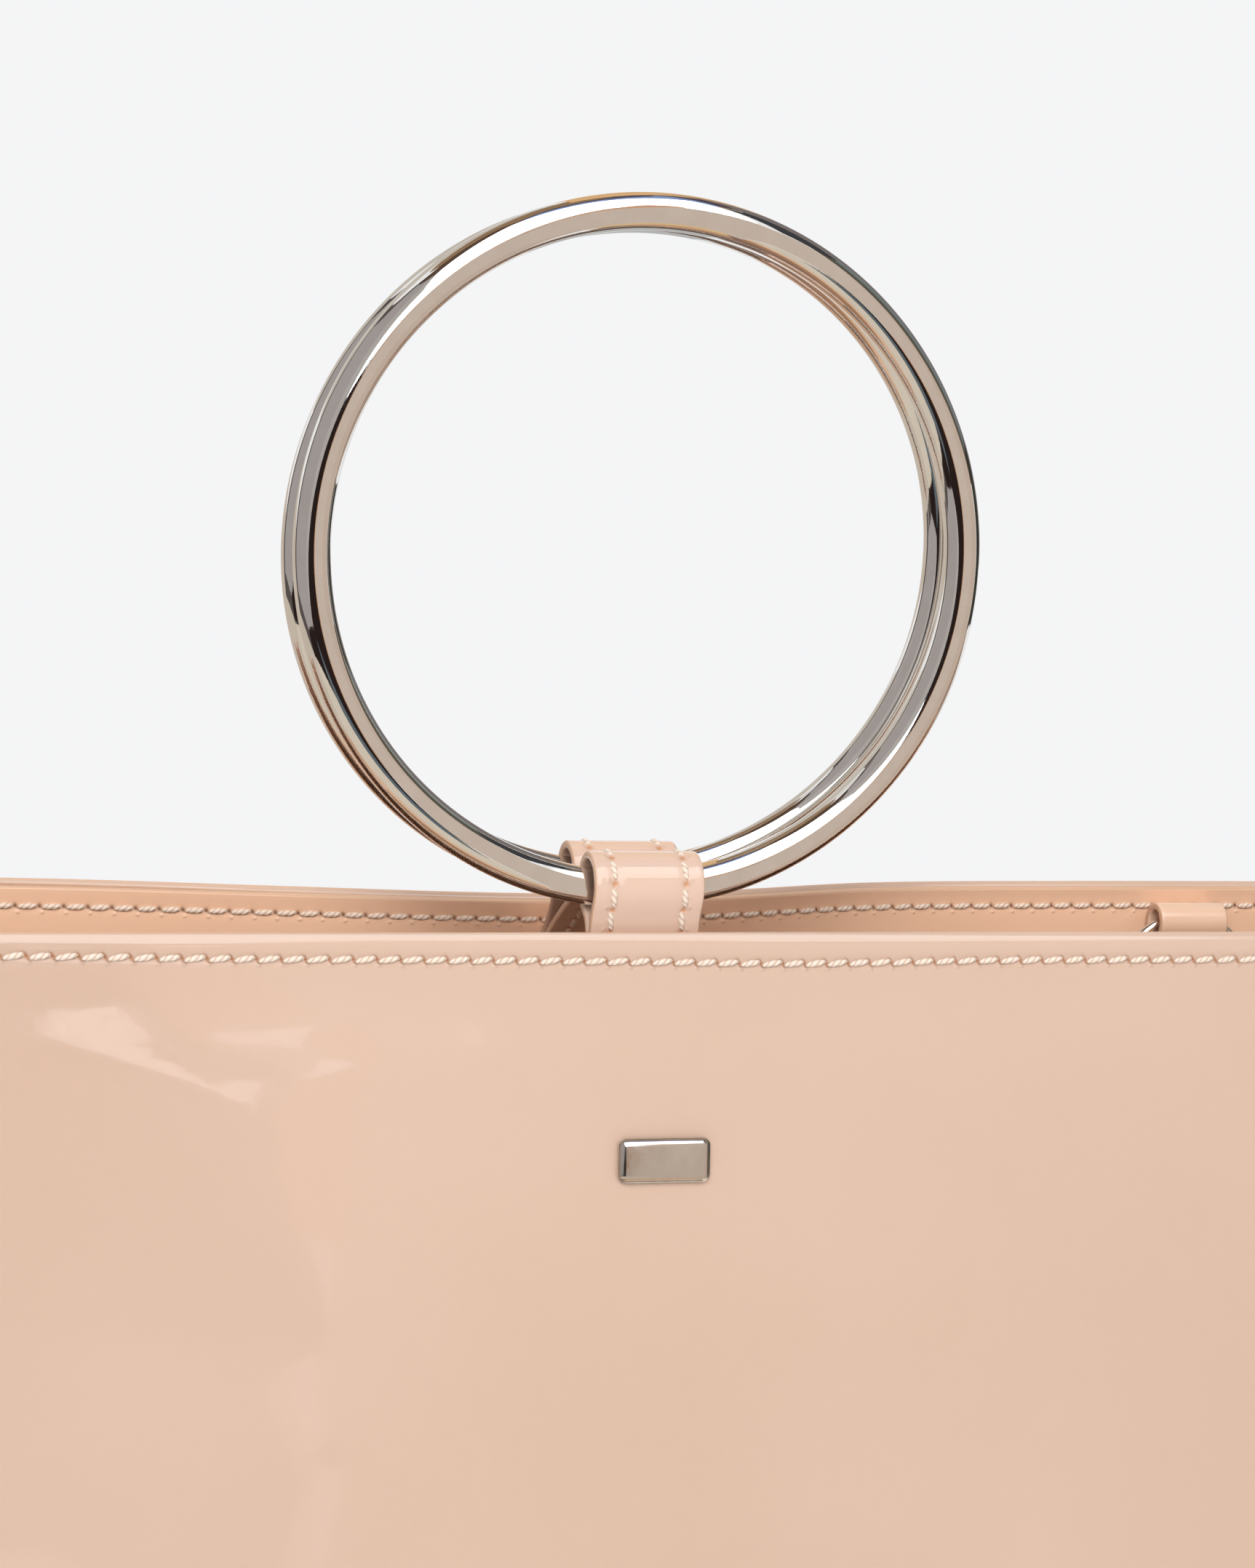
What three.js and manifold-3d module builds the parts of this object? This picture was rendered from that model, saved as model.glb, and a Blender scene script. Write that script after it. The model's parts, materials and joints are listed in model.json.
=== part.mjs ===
// Evening clutch in patent leather with two metal ring handles. Two soft panels, two folded side
// gussets and a flat base make an open box. A band of leather faces the inside of the mouth.
// Each ring stands in a stitched leather tab, and a small strap ring hangs at each end of the
// back facing. Millimetres, +Z up, the front towards -Y, z = 0 under the base.
import * as THREE from 'three';
import Module from 'manifold-3d';

// Body
const bagWidth = 264;
const bagHeight = 160;
const bagDepth = 50;
const mouthDepth = 48;
const panelWall = 1.6;
const gap = 0.3;
const cornerBend = 7;
const lipLength = 3;
const panelBulge = 6;
const backBow = 9.5;
const backSag = 0.7;

// Facing bands inside the mouth
const facingWall = 1;
const facingHeight = 36;
const facingDrop = 1.2;

// Gussets
const gussetWall = 1.4;
const gussetInset = 0.5;
const gussetDrop = 1.5;
const gussetFold = 10;
const flangeLength = 8;
const cornerChamfer = 0.8;

// Base
const baseWall = 1.6;
const baseCover = 1.4;
const baseLap = 2.6;
const baseInset = 0.2;

// Ring handles: a soft-cornered band, bent into a circle
const ringOuter = 100;
const ringRadial = 5.3;
const ringAxial = 4.2;
const ringCorner = 1.7;
const ringShift = -2.4;
const ringSpacing = 8.3;
const ringSetback = 7.7;
const ringLean = THREE.MathUtils.degToRad(2);

// Ring tabs
const tabWidth = 16;
const tabShift = -1;
const tabLeather = 1.2;
const tabHole = 3.65;
const tabRise = 5.6;
const backTabDrop = 0.3;
const tabReach = 26;
const backTabSlope = 12;
const hingeInset = 0.58;

// Strap rings and their tabs
const strapRingOuter = 25;
const strapWire = 1.6;
const strapInset = 31.5;
const strapTabWidth = 11.5;
const strapTabLeather = 1.1;
const strapTabHole = 2;
const strapTabDrop = 2.9;
const strapTabReach = 20;
const strapHingeInset = 0.8;

// Plain plaque on the front
const badgeWidth = 13.4;
const badgeHeight = 6.2;
const badgeThick = 1.2;
const badgeCorner = 1.1;
const badgeBevel = 0.25;
const badgeShift = 1.2;
const badgeDrop = 31.7;

const colours = {
  leather: 0xe8c6b0,
  facing: 0xd8b096,
  tab: 0xe9c8b3,
  metal: 0xcac5be,
};

// How far a panel swells over its height, as a share of panelBulge
const swellRows = [
  { height: 0, out: 0 },
  { height: 0.15, out: 0.55 },
  { height: 0.42, out: 1 },
  { height: 0.68, out: 0.86 },
  { height: 0.86, out: 0.4 },
  { height: 0.95, out: 0.08 },
  { height: 1, out: 0 },
];

// How far the back's top edge is drawn in by its tab, as a share of backBow
const bowRows = [
  { across: -1, in: 0 },
  { across: -0.62, in: 0.18 },
  { across: -0.35, in: 0.6 },
  { across: -0.12, in: 0.96 },
  { across: 0.03, in: 1 },
  { across: 0.17, in: 0.75 },
  { across: 0.36, in: 0.2 },
  { across: 0.6, in: 0.04 },
  { across: 1, in: 0 },
];

// How much of that is left lower down
const bowFadeRows = [
  { height: 0, left: 0 },
  { height: 0.45, left: 0.06 },
  { height: 0.75, left: 0.4 },
  { height: 0.9, left: 0.8 },
  { height: 1, left: 1 },
];

// How deep a gusset folds inwards, as a share of gussetFold, and how long its flanges are
const gussetRows = [
  { height: 0, fold: 0, flange: 0.3 },
  { height: 0.06, fold: 0.02, flange: 0.3 },
  { height: 0.09, fold: 0.03, flange: 1 },
  { height: 0.3, fold: 0.16, flange: 1 },
  { height: 0.5, fold: 0.34, flange: 1 },
  { height: 0.7, fold: 0.6, flange: 1 },
  { height: 0.86, fold: 0.86, flange: 1 },
  { height: 1, fold: 1, flange: 1 },
];

const halfWidth = bagWidth / 2;
const strapOffset = halfWidth - strapInset;
const wallHeights = [0.1, 0.22, 0.36, 0.5, 0.64, 0.775, 0.84, 0.9, 0.95, 0.98, 1];
const acrossSteps = 24;
const ringSteps = 60;
const strapRingSteps = 32;

// A smooth curve through the rows of a table
function curve(rows, key, value) {
  const slope = (i) => {
    const a = rows[Math.max(i - 1, 0)];
    const b = rows[Math.min(i + 1, rows.length - 1)];
    return (b[value] - a[value]) / (b[key] - a[key]);
  };
  return (at) => {
    let i = 0;
    while (i < rows.length - 2 && at > rows[i + 1][key]) i += 1;
    const a = rows[i];
    const b = rows[i + 1];
    const step = b[key] - a[key];
    const t = THREE.MathUtils.clamp((at - a[key]) / step, 0, 1);
    const s = 1 - t;
    return a[value] * s * s * (1 + 2 * t) + b[value] * t * t * (3 - 2 * t)
      + slope(i) * step * t * s * s - slope(i + 1) * step * t * t * s;
  };
}

const swell = curve(swellRows, 'height', 'out');
const bow = curve(bowRows, 'across', 'in');
const bowLeft = curve(bowFadeRows, 'height', 'left');
const gussetIn = curve(gussetRows, 'height', 'fold');

// Half the depth of the box at its side seams
const halfDepth = (height) => THREE.MathUtils.lerp(bagDepth, mouthDepth, height) / 2;

// Distance of a panel's outer face from the middle plane
function panelOut(side, x, height) {
  const across = THREE.MathUtils.clamp(x / halfWidth, -1, 1);
  const fullness = (1 - across * across) * swell(height) * panelBulge;
  const drawn = side > 0 ? bow(across) * bowLeft(height) * backBow : 0;
  return halfDepth(height) + fullness - drawn;
}

// Height of a panel's top edge
const topEdge = (side, x) => bagHeight - (side > 0 ? bow(x / halfWidth) * backSag : 0);

// Inner face of the facing, towards the middle plane
const facingIn = (side, x, height) => panelOut(side, x, height) - panelWall - gap - facingWall;

function orient(positions, index) {
  let volume = 0;
  const corner = (i) => new THREE.Vector3().fromArray(positions, 3 * i);
  for (let i = 0; i < index.length; i += 3) {
    volume += corner(index[i]).dot(corner(index[i + 1]).cross(corner(index[i + 2])));
  }
  if (volume < 0) index.reverse();
  const geometry = new THREE.BufferGeometry();
  geometry.setAttribute('position', new THREE.Float32BufferAttribute(positions, 3));
  geometry.setIndex(index);
  return geometry;
}

// A closed solid through like sections, one at each station. A section runs up one side of a
// wall and back down the other, so its flat ends are filled between facing points.
function loft(stations, section, place) {
  const rings = stations.map(section);
  const count = rings[0].length;
  const positions = [];
  const index = [];
  rings.forEach((ring, i) => {
    ring.forEach(([u, v]) => positions.push(...place(stations[i], u, v)));
  });
  for (let i = 0; i + 1 < rings.length; i += 1) {
    for (let j = 0; j < count; j += 1) {
      const a = i * count + j;
      const b = i * count + ((j + 1) % count);
      index.push(a, b, a + count, b, b + count, a + count);
    }
  }
  [0, rings.length - 1].forEach((i) => {
    for (let j = 0; 2 * j < count - 2; j += 1) {
      const quad = [j, j + 1, count - 2 - j, count - 1 - j].map((k) => i * count + k);
      if (i === 0) quad.reverse();
      if (quad[1] !== quad[2]) {
        index.push(quad[0], quad[1], quad[2], quad[0], quad[2], quad[3]);
      } else {
        index.push(quad[0], quad[1], quad[3]);
      }
    }
  });
  return orient(positions, index);
}

const alongX = (side) => (x, y, z) => [x, side * y, z];

// Panel: a short lip under the base, a bend, the wall, and a rounded top edge
function panel(side) {
  const section = (x) => {
    const foot = halfDepth(0) - cornerBend;
    const outer = [[foot - lipLength, 0], [foot, 0]];
    const inner = [[foot - lipLength, panelWall], [foot, panelWall]];
    for (let i = 1; i <= 4; i += 1) {
      const angle = (i / 4) * (Math.PI / 2);
      const bent = (radius) => [
        foot + radius * Math.sin(angle),
        cornerBend - radius * Math.cos(angle),
      ];
      outer.push(bent(cornerBend));
      inner.push(bent(cornerBend - panelWall));
    }
    const top = topEdge(side, x);
    wallHeights.forEach((height) => {
      const z = height * top - (height === 1 ? panelWall / 2 : 0);
      const y = panelOut(side, x, height);
      outer.push([y, z]);
      inner.push([y - panelWall, z]);
    });
    const [edge, z] = outer[outer.length - 1];
    const crown = [0.85, 0.5, 0.15].map((share) => [
      edge - panelWall * (1 - share),
      z + (share === 0.5 ? panelWall / 2 : panelWall * 0.35),
    ]);
    return [...outer, ...crown, ...inner.reverse()];
  };
  const stations = Array.from({ length: acrossSteps + 1 }, (_, i) => (
    THREE.MathUtils.lerp(-halfWidth, halfWidth, i / acrossSteps)));
  return loft(stations, section, alongX(side));
}

// Facing: a flat band that follows the inside of its panel
const facingEnd = halfWidth - gussetInset - flangeLength - gap;
function facing(side) {
  const section = (x) => {
    const top = topEdge(side, x);
    const low = 1 - facingHeight / bagHeight;
    const heights = [low, ...wallHeights.filter((height) => height > low)];
    const near = heights.map((height) => {
      const y = panelOut(side, x, height) - panelWall - gap;
      return [y, height * top - (height === 1 ? facingDrop : 0)];
    });
    const far = near.map(([y, z]) => [y - facingWall, z]);
    return [...near, ...far.reverse()];
  };
  const stations = Array.from({ length: acrossSteps - 1 }, (_, i) => (
    THREE.MathUtils.lerp(-halfWidth, halfWidth, (i + 1) / acrossSteps)));
  stations[0] = -facingEnd;
  stations[stations.length - 1] = facingEnd;
  return loft(stations, section, alongX(side));
}

// Gusset: a web folded inwards at the mouth, with a flange along each panel
const gussetFoot = baseWall + gap + baseCover + gap;
function gusset(end) {
  const face = halfWidth - gussetInset;
  const section = (row) => {
    const height = row.height;
    const z = Math.max(height * bagHeight, gussetFoot);
    const bend = cornerBend - panelWall;
    const inside = z < cornerBend
      ? halfDepth(0) - cornerBend + Math.sqrt(bend * bend - (cornerBend - z) ** 2)
      : halfDepth(height) - panelWall;
    const reach = inside - gap;
    const fold = gussetIn(height) * gussetFold;
    const flange = row.flange * flangeLength;
    const web = [-0.75, -0.4, 0, 0.4, 0.75];
    const folded = (share) => face - fold * (1 - Math.abs(share)) ** 1.2;
    const inner = reach - gussetWall;
    return [
      [face - flange, -reach],
      [face - cornerChamfer, -reach],
      [face, cornerChamfer - reach],
      ...web.map((share) => [folded(share), share * reach]),
      [face, reach - cornerChamfer],
      [face - cornerChamfer, reach],
      [face - flange, reach],
      [face - flange, inner],
      [face - gussetWall - cornerChamfer / 2, inner],
      [face - gussetWall, inner - cornerChamfer / 2],
      ...web.map((share) => [folded(share) - gussetWall, -share * inner]),
      [face - gussetWall, cornerChamfer / 2 - inner],
      [face - gussetWall - cornerChamfer / 2, -inner],
      [face - flange, -inner],
    ];
  };
  const place = (row, x, y) => {
    const z = Math.max(row.height * bagHeight, gussetFoot);
    return [end * x, y, row.height === 1 ? z - gussetDrop : z];
  };
  return loft(gussetRows, section, place);
}

// A shape drawn in (y, z), carried along x
function slab(outline, width, centre) {
  const shape = new THREE.Shape(outline.map(([y, z]) => new THREE.Vector2(y, z)));
  const geometry = new THREE.ExtrudeGeometry(shape, { depth: width, bevelEnabled: false });
  const turn = new THREE.Matrix4().makeBasis(
    new THREE.Vector3(0, 1, 0),
    new THREE.Vector3(0, 0, 1),
    new THREE.Vector3(1, 0, 0),
  );
  return geometry.applyMatrix4(turn).translate(centre - width / 2, 0, 0);
}

// Base: the plate between the lips, with a wider cover that laps over them
function base() {
  const plate = halfDepth(0) - cornerBend - lipLength - gap;
  const cover = plate + baseLap;
  const seat = baseWall + gap;
  const outline = [
    [-plate, 0], [plate, 0], [plate, seat], [cover, seat], [cover, seat + baseCover],
    [-cover, seat + baseCover], [-cover, seat], [-plate, seat],
  ];
  return slab(outline, bagWidth - 2 * baseInset, 0);
}

const wasm = await Module();
wasm.setup();

function toSolid(geometry) {
  const flat = geometry.index ? geometry.toNonIndexed() : geometry;
  const points = flat.getAttribute('position');
  const seen = new Map();
  const vertices = [];
  const faces = [];
  for (let i = 0; i < points.count; i += 1) {
    const corner = [points.getX(i), points.getY(i), points.getZ(i)];
    const key = corner.map((v) => Math.round(v * 1e4)).join();
    if (!seen.has(key)) {
      seen.set(key, vertices.length / 3);
      vertices.push(...corner);
    }
    faces.push(seen.get(key));
  }
  return new wasm.Manifold(new wasm.Mesh({
    numProp: 3,
    vertProperties: new Float32Array(vertices),
    triVerts: new Uint32Array(faces),
  }));
}

function fromSolid(solid) {
  const mesh = solid.getMesh();
  const geometry = new THREE.BufferGeometry();
  const points = new THREE.Float32BufferAttribute(Array.from(mesh.vertProperties), 3);
  geometry.setAttribute('position', points);
  geometry.setIndex(Array.from(mesh.triVerts));
  return geometry;
}

const circle = ([y, z], radius, sides) => Array.from({ length: sides }, (_, i) => {
  const angle = (i / sides) * 2 * Math.PI;
  return [y + radius * Math.cos(angle), z + radius * Math.sin(angle)];
});

// A tab: leather round a hole, its two layers drawn together into a strap along a route
function tab({ centre, hole, leather, route, width, middle }) {
  const sides = 28;
  const outer = hole + leather;
  const path = [centre, ...route];
  const direction = (i) => {
    const [a, b] = [path[Math.max(i - 1, 0)], path[Math.min(i + 1, path.length - 1)]];
    const length = Math.hypot(b[0] - a[0], b[1] - a[1]);
    return [(b[0] - a[0]) / length, (b[1] - a[1]) / length];
  };
  const offset = (i, by) => {
    const [dy, dz] = direction(i);
    return [path[i][0] - dz * by, path[i][1] + dy * by];
  };
  const steps = route.map((_, i) => i + 1);
  const strap = [
    offset(0, leather), ...steps.map((i) => offset(i, leather)),
    ...steps.reverse().map((i) => offset(i, -leather)), offset(0, -leather),
  ];
  const throat = [
    offset(0, outer), offset(1, leather), offset(1, -leather), offset(0, -outer),
  ];
  const part = (outline) => toSolid(slab(outline, width, middle));
  const cutter = toSolid(slab(circle(centre, hole, sides), width + 2 * gap, middle));
  const body = part(circle(centre, outer, sides)).add(part(strap)).add(part(throat));
  return fromSolid(body.subtract(cutter));
}

// Ring and hinge places
const frontEdge = halfDepth(1);
const ringMiddle = (ringOuter - ringRadial) / 2;
const hingeToCentre = ringMiddle - hingeInset;
const frontRingY = ringSetback - frontEdge;
const frontHinge = [
  frontRingY - hingeToCentre * Math.sin(ringLean),
  bagHeight + tabRise,
];
const backHinge = [
  frontRingY + ringSpacing + hingeToCentre * Math.sin(ringLean),
  bagHeight + tabRise - backTabDrop,
];

// The narrowest clear side of a facing over the width of a tab
const clearFacing = (side, middle, width, height) => Math.min(
  ...[-0.5, 0, 0.5].map((share) => facingIn(side, middle + share * width, height)),
);

function frontTab() {
  const [y] = frontHinge;
  const seat = (drop) => [
    gap + tabLeather - clearFacing(-1, tabShift, tabWidth, 1 - drop / bagHeight),
    bagHeight - drop,
  ];
  const neck = [Math.min(y, seat(0)[0]), bagHeight + gap];
  return tab({
    centre: frontHinge,
    hole: tabHole,
    leather: tabLeather,
    route: [neck, seat(tabReach / 3), seat((tabReach * 2) / 3), seat(tabReach)],
    width: tabWidth,
    middle: tabShift,
  });
}

function backTab() {
  const seat = (drop) => [
    clearFacing(1, tabShift, tabWidth, 1 - drop / bagHeight) - gap - tabLeather - backSag / 2,
    bagHeight - drop,
  ];
  const [y, z] = backHinge;
  const landing = seat(backTabSlope);
  const neck = [
    THREE.MathUtils.lerp(y, landing[0], 0.42),
    THREE.MathUtils.lerp(z, landing[1], 0.5),
  ];
  return tab({
    centre: backHinge,
    hole: tabHole,
    leather: tabLeather,
    route: [neck, landing, seat((tabReach + backTabSlope) / 2), seat(tabReach)],
    width: tabWidth,
    middle: tabShift,
  });
}

// Section of the ring band: a rectangle with soft corners, as (radius, axial) points
function bandSection() {
  const half = [ringRadial / 2 - ringCorner, ringAxial / 2 - ringCorner];
  const points = [];
  [[1, 1], [-1, 1], [-1, -1], [1, -1]].forEach(([u, v], corner) => {
    for (let i = 0; i < 3; i += 1) {
      const angle = (corner + i / 2) * (Math.PI / 2);
      points.push(new THREE.Vector2(
        ringMiddle + u * half[0] + ringCorner * Math.cos(angle),
        v * half[1] + ringCorner * Math.sin(angle),
      ));
    }
  });
  return [...points, points[0]];
}

function ringHandle() {
  return new THREE.LatheGeometry(bandSection(), ringSteps);
}

// Strap rings hang inside the back facing
const strapRingMiddle = (strapRingOuter - strapWire) / 2;
const strapHeight = 1 - (strapTabDrop + strapTabHole + strapTabLeather) / bagHeight;
const strapHinge = (middle) => {
  const wallSide = Math.min(
    ...[1, 1 - strapTabReach / bagHeight].map((height) => (
      clearFacing(1, middle, strapTabWidth, height))),
  );
  const strapFront = wallSide - gap - 2 * strapTabLeather;
  return [strapFront - gap - strapWire / 2, bagHeight * strapHeight];
};

function strapTab(end) {
  const middle = end * strapOffset;
  const hinge = strapHinge(middle);
  const seat = (drop) => [
    hinge[0] + strapWire / 2 + gap + strapTabLeather,
    hinge[1] - drop,
  ];
  return tab({
    centre: hinge,
    hole: strapTabHole,
    leather: strapTabLeather,
    route: [seat(strapTabHole + strapTabLeather), seat(strapTabReach / 2), seat(strapTabReach)],
    width: strapTabWidth,
    middle,
  });
}

function strapRing() {
  const sides = 10;
  const points = Array.from({ length: sides + 1 }, (_, i) => {
    const angle = ((i % sides) / sides) * 2 * Math.PI;
    return new THREE.Vector2(
      strapRingMiddle + (strapWire / 2) * Math.cos(angle),
      (strapWire / 2) * Math.sin(angle),
    );
  });
  return new THREE.LatheGeometry(points, strapRingSteps);
}

// Plaque: a plain rounded bar with a fine bevel
function badge() {
  const across = badgeWidth / 2 - badgeBevel;
  const up = badgeHeight / 2 - badgeBevel;
  const shape = new THREE.Shape();
  const corner = badgeCorner - badgeBevel;
  [[1, 1], [-1, 1], [-1, -1], [1, -1]].forEach(([u, v], i) => {
    shape.absarc(
      u * (across - corner),
      v * (up - corner),
      corner,
      i * (Math.PI / 2),
      (i + 1) * (Math.PI / 2),
    );
  });
  return new THREE.ExtrudeGeometry(shape, {
    depth: badgeThick - 2 * badgeBevel,
    bevelThickness: badgeBevel,
    bevelSize: badgeBevel,
    bevelSegments: 1,
    curveSegments: 4,
  }).translate(0, 0, badgeBevel);
}

const clutch = new THREE.Group();
clutch.name = 'evening_clutch';

function add(name, geometry, color, roughness, metalness, parent = clutch) {
  const material = new THREE.MeshStandardMaterial({ color, roughness, metalness });
  const mesh = new THREE.Mesh(geometry, material);
  mesh.name = name;
  parent.add(mesh);
  return mesh;
}

add('front_panel', panel(-1), colours.leather, 0.15, 0);
add('back_panel', panel(1), colours.leather, 0.15, 0);
add('front_facing', facing(-1), colours.facing, 0.3, 0);
add('back_facing', facing(1), colours.facing, 0.3, 0);
add('left_gusset', gusset(-1), colours.leather, 0.15, 0);
add('right_gusset', gusset(1), colours.leather, 0.15, 0);
add('base_panel', base(), colours.leather, 0.15, 0);
add('front_tab', frontTab(), colours.tab, 0.2, 0);
add('back_tab', backTab(), colours.tab, 0.2, 0);

// Each ring turns about its hinge group
function hung(name, geometry, [x, y, z], lean, centreAt) {
  const hinge = new THREE.Group();
  hinge.position.set(x, y, z);
  hinge.rotation.x = lean;
  const ring = add(name, geometry, colours.metal, 0.06, 1, hinge);
  ring.position.set(centreAt[0], 0, centreAt[1]);
  clutch.add(hinge);
}

hung('front_ring', ringHandle(), [0, ...frontHinge], -ringLean, [ringShift, hingeToCentre]);
hung('back_ring', ringHandle(), [0, ...backHinge], ringLean, [ringShift, hingeToCentre]);

[['left', -1], ['right', 1]].forEach(([name, end]) => {
  const middle = end * strapOffset;
  const hinge = strapHinge(middle);
  const drop = strapHingeInset - strapRingMiddle;
  add(`${name}_strap_tab`, strapTab(end), colours.tab, 0.2, 0);
  hung(`${name}_strap_ring`, strapRing(), [middle, ...hinge], 0, [0, drop]);
});

const badgeAt = 1 - badgeDrop / bagHeight;
const badgeStep = badgeHeight / 2 / bagHeight;
const badgeTop = panelOut(-1, badgeShift, badgeAt + badgeStep);
const badgeFoot = panelOut(-1, badgeShift, badgeAt - badgeStep);
const plaque = add('badge', badge(), colours.metal, 0.12, 1);
plaque.rotation.x = Math.PI / 2 - Math.atan2(badgeFoot - badgeTop, badgeHeight);
plaque.position.set(
  badgeShift,
  -Math.max((badgeTop + badgeFoot) / 2, panelOut(-1, badgeShift, badgeAt)) - gap,
  badgeAt * bagHeight,
);

export default clutch;
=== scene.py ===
import json
import math
import random

import bpy
from mathutils import Matrix, Vector, noise


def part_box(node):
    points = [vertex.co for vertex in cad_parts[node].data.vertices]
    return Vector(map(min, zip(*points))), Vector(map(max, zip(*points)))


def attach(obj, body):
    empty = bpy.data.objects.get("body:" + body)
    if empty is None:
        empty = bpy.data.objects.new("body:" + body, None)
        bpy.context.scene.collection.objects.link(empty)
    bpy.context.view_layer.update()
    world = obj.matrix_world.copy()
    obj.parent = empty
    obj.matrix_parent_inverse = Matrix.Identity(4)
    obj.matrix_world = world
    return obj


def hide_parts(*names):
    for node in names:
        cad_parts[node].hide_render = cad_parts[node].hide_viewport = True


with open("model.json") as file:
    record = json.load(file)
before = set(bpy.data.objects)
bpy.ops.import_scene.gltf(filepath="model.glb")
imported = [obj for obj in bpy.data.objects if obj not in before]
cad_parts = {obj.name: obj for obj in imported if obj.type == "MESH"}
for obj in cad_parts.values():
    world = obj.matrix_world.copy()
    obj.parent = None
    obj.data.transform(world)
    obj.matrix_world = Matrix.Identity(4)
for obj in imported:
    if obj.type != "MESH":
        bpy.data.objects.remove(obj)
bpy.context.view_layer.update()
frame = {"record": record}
mm = 0.001
dice = random.Random(7)

print("camera")
shot = {
    "place": (-0.145215, -0.495470, 0.246288),
    "look": (0.28156, 0.95043, -0.13193),
    "up": (-0.01119, 0.14074, 0.98998),
    "focalPixels": 4916.3,
    "picture": (1725, 2156),
    "sensor": 36,
    "clip": (0.02, 60),
}


def makeCamera():
    camera = bpy.data.objects.new("camera", bpy.data.cameras.new("camera"))
    bpy.context.scene.collection.objects.link(camera)
    look = Vector(shot["look"]).normalized()
    right = look.cross(Vector(shot["up"])).normalized()
    up = right.cross(look)
    camera.matrix_world = Matrix.Translation(shot["place"]) @ Matrix((right, up, -look)).transposed().to_4x4()
    camera.data.sensor_width = shot["sensor"]
    camera.data.lens = shot["focalPixels"] / max(shot["picture"]) * shot["sensor"]
    camera.data.clip_start, camera.data.clip_end = shot["clip"]
    bpy.context.scene.camera = camera


makeCamera()


def clearSelection():
    bpy.ops.object.select_all(action="DESELECT")


def pick(obj):
    clearSelection()
    obj.select_set(True)
    bpy.context.view_layer.objects.active = obj


def modify(obj, kind, **settings):
    modifier = obj.modifiers.new(kind.lower(), kind)
    for key, value in settings.items():
        setattr(modifier, key, value)
    pick(obj)
    bpy.ops.object.modifier_apply(modifier=modifier.name)


def settle(obj):
    # the place goes into the mesh, as with the CAD nodes
    pick(obj)
    bpy.ops.object.transform_apply(location=True, rotation=True, scale=True)


def inEditMode(obj, *steps):
    pick(obj)
    bpy.ops.object.mode_set(mode="EDIT")
    bpy.ops.mesh.select_all(action="SELECT")
    for step in steps:
        step()
    bpy.ops.object.mode_set(mode="OBJECT")


def smooth(obj, angle=None):
    pick(obj)
    if angle is None:
        bpy.ops.object.shade_smooth()
    else:
        bpy.ops.object.shade_smooth_by_angle(angle=math.radians(angle))


def thicken(obj, wall, offset, **materialStep):
    modify(obj, "SOLIDIFY", thickness=wall * mm, offset=offset, use_even_offset=True, **materialStep)


def roundEdges(obj, width, angle=60, segments=3, clamp=False):
    modify(obj, "BEVEL", width=width * mm, segments=segments, limit_method="ANGLE",
           angle_limit=math.radians(angle), use_clamp_overlap=clamp)


def joinAll(objects, name):
    clearSelection()
    for obj in objects:
        obj.select_set(True)
    bpy.context.view_layer.objects.active = objects[0]
    bpy.ops.object.join()
    objects[0].name = name
    return objects[0]


def copyOf(obj):
    twin = obj.copy()
    twin.data = obj.data.copy()
    bpy.context.scene.collection.objects.link(twin)
    return twin


def sheetFrom(name, columns, rows, place, seam=None, outward=None):
    # a flat grid whose points are moved to where place(u, v) says, in millimetres
    clearSelection()
    bpy.ops.mesh.primitive_grid_add(x_subdivisions=columns, y_subdivisions=rows, size=1)
    obj = bpy.context.object
    obj.name = name
    flat = [(v.co.x + 0.5, v.co.y + 0.5) for v in obj.data.vertices]
    if seam:
        layer = obj.data.uv_layers.active
        layer.name = "seam"
        for loop in obj.data.loops:
            layer.data[loop.index].uv = seam(*flat[loop.vertex_index])
    for vertex, (u, v) in zip(obj.data.vertices, flat):
        vertex.co = Vector(place(u, v)) * mm
    if outward:
        middle = obj.data.polygons[len(obj.data.polygons) // 2]
        obj.data.update()
        if middle.normal.dot(Vector(outward)) < 0:
            inEditMode(obj, lambda: bpy.ops.mesh.flip_normals())
    return obj


def curveThrough(rows):
    # a smooth curve through the rows of a table
    def slope(i):
        a, b = rows[max(i - 1, 0)], rows[min(i + 1, len(rows) - 1)]
        return (b[1] - a[1]) / (b[0] - a[0])

    def at(x):
        i = 0
        while i < len(rows) - 2 and x > rows[i + 1][0]:
            i += 1
        (x0, y0), (x1, y1) = rows[i], rows[i + 1]
        step = x1 - x0
        t = min(max((x - x0) / step, 0), 1)
        s = 1 - t
        return (y0 * s * s * (1 + 2 * t) + y1 * t * t * (3 - 2 * t)
                + slope(i) * step * t * s * s - slope(i + 1) * step * t * t * s)
    return at


def mix(a, b, t):
    return a + (b - a) * t


def ease(low, high, x):
    t = min(max((x - low) / (high - low), 0), 1)
    return t * t * (3 - 2 * t)


def fillInputs(tree, node, inputs):
    for key, value in inputs.items():
        if isinstance(value, bpy.types.NodeSocket):
            tree.links.new(value, node.inputs[key])
        else:
            node.inputs[key].default_value = value
    return node


def addNode(tree, kind, inputs=None, **settings):
    node = tree.nodes.new(kind)
    for key, value in settings.items():
        setattr(node, key, value)
    return fillInputs(tree, node, inputs or {})


def addGroup(tree, group, inputs):
    node = tree.nodes.new("ShaderNodeGroup")
    node.node_tree = group
    return fillInputs(tree, node, inputs)


def maths(tree, operation, *values):
    return addNode(tree, "ShaderNodeMath", dict(enumerate(values)), operation=operation).outputs[0]


def bell(tree, off, width):
    # 1 on the line, falling softly to 0
    share = maths(tree, "DIVIDE", off, width)
    return maths(tree, "EXPONENT", maths(tree, "MULTIPLY", maths(tree, "MULTIPLY", share, share), -1.0))


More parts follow.
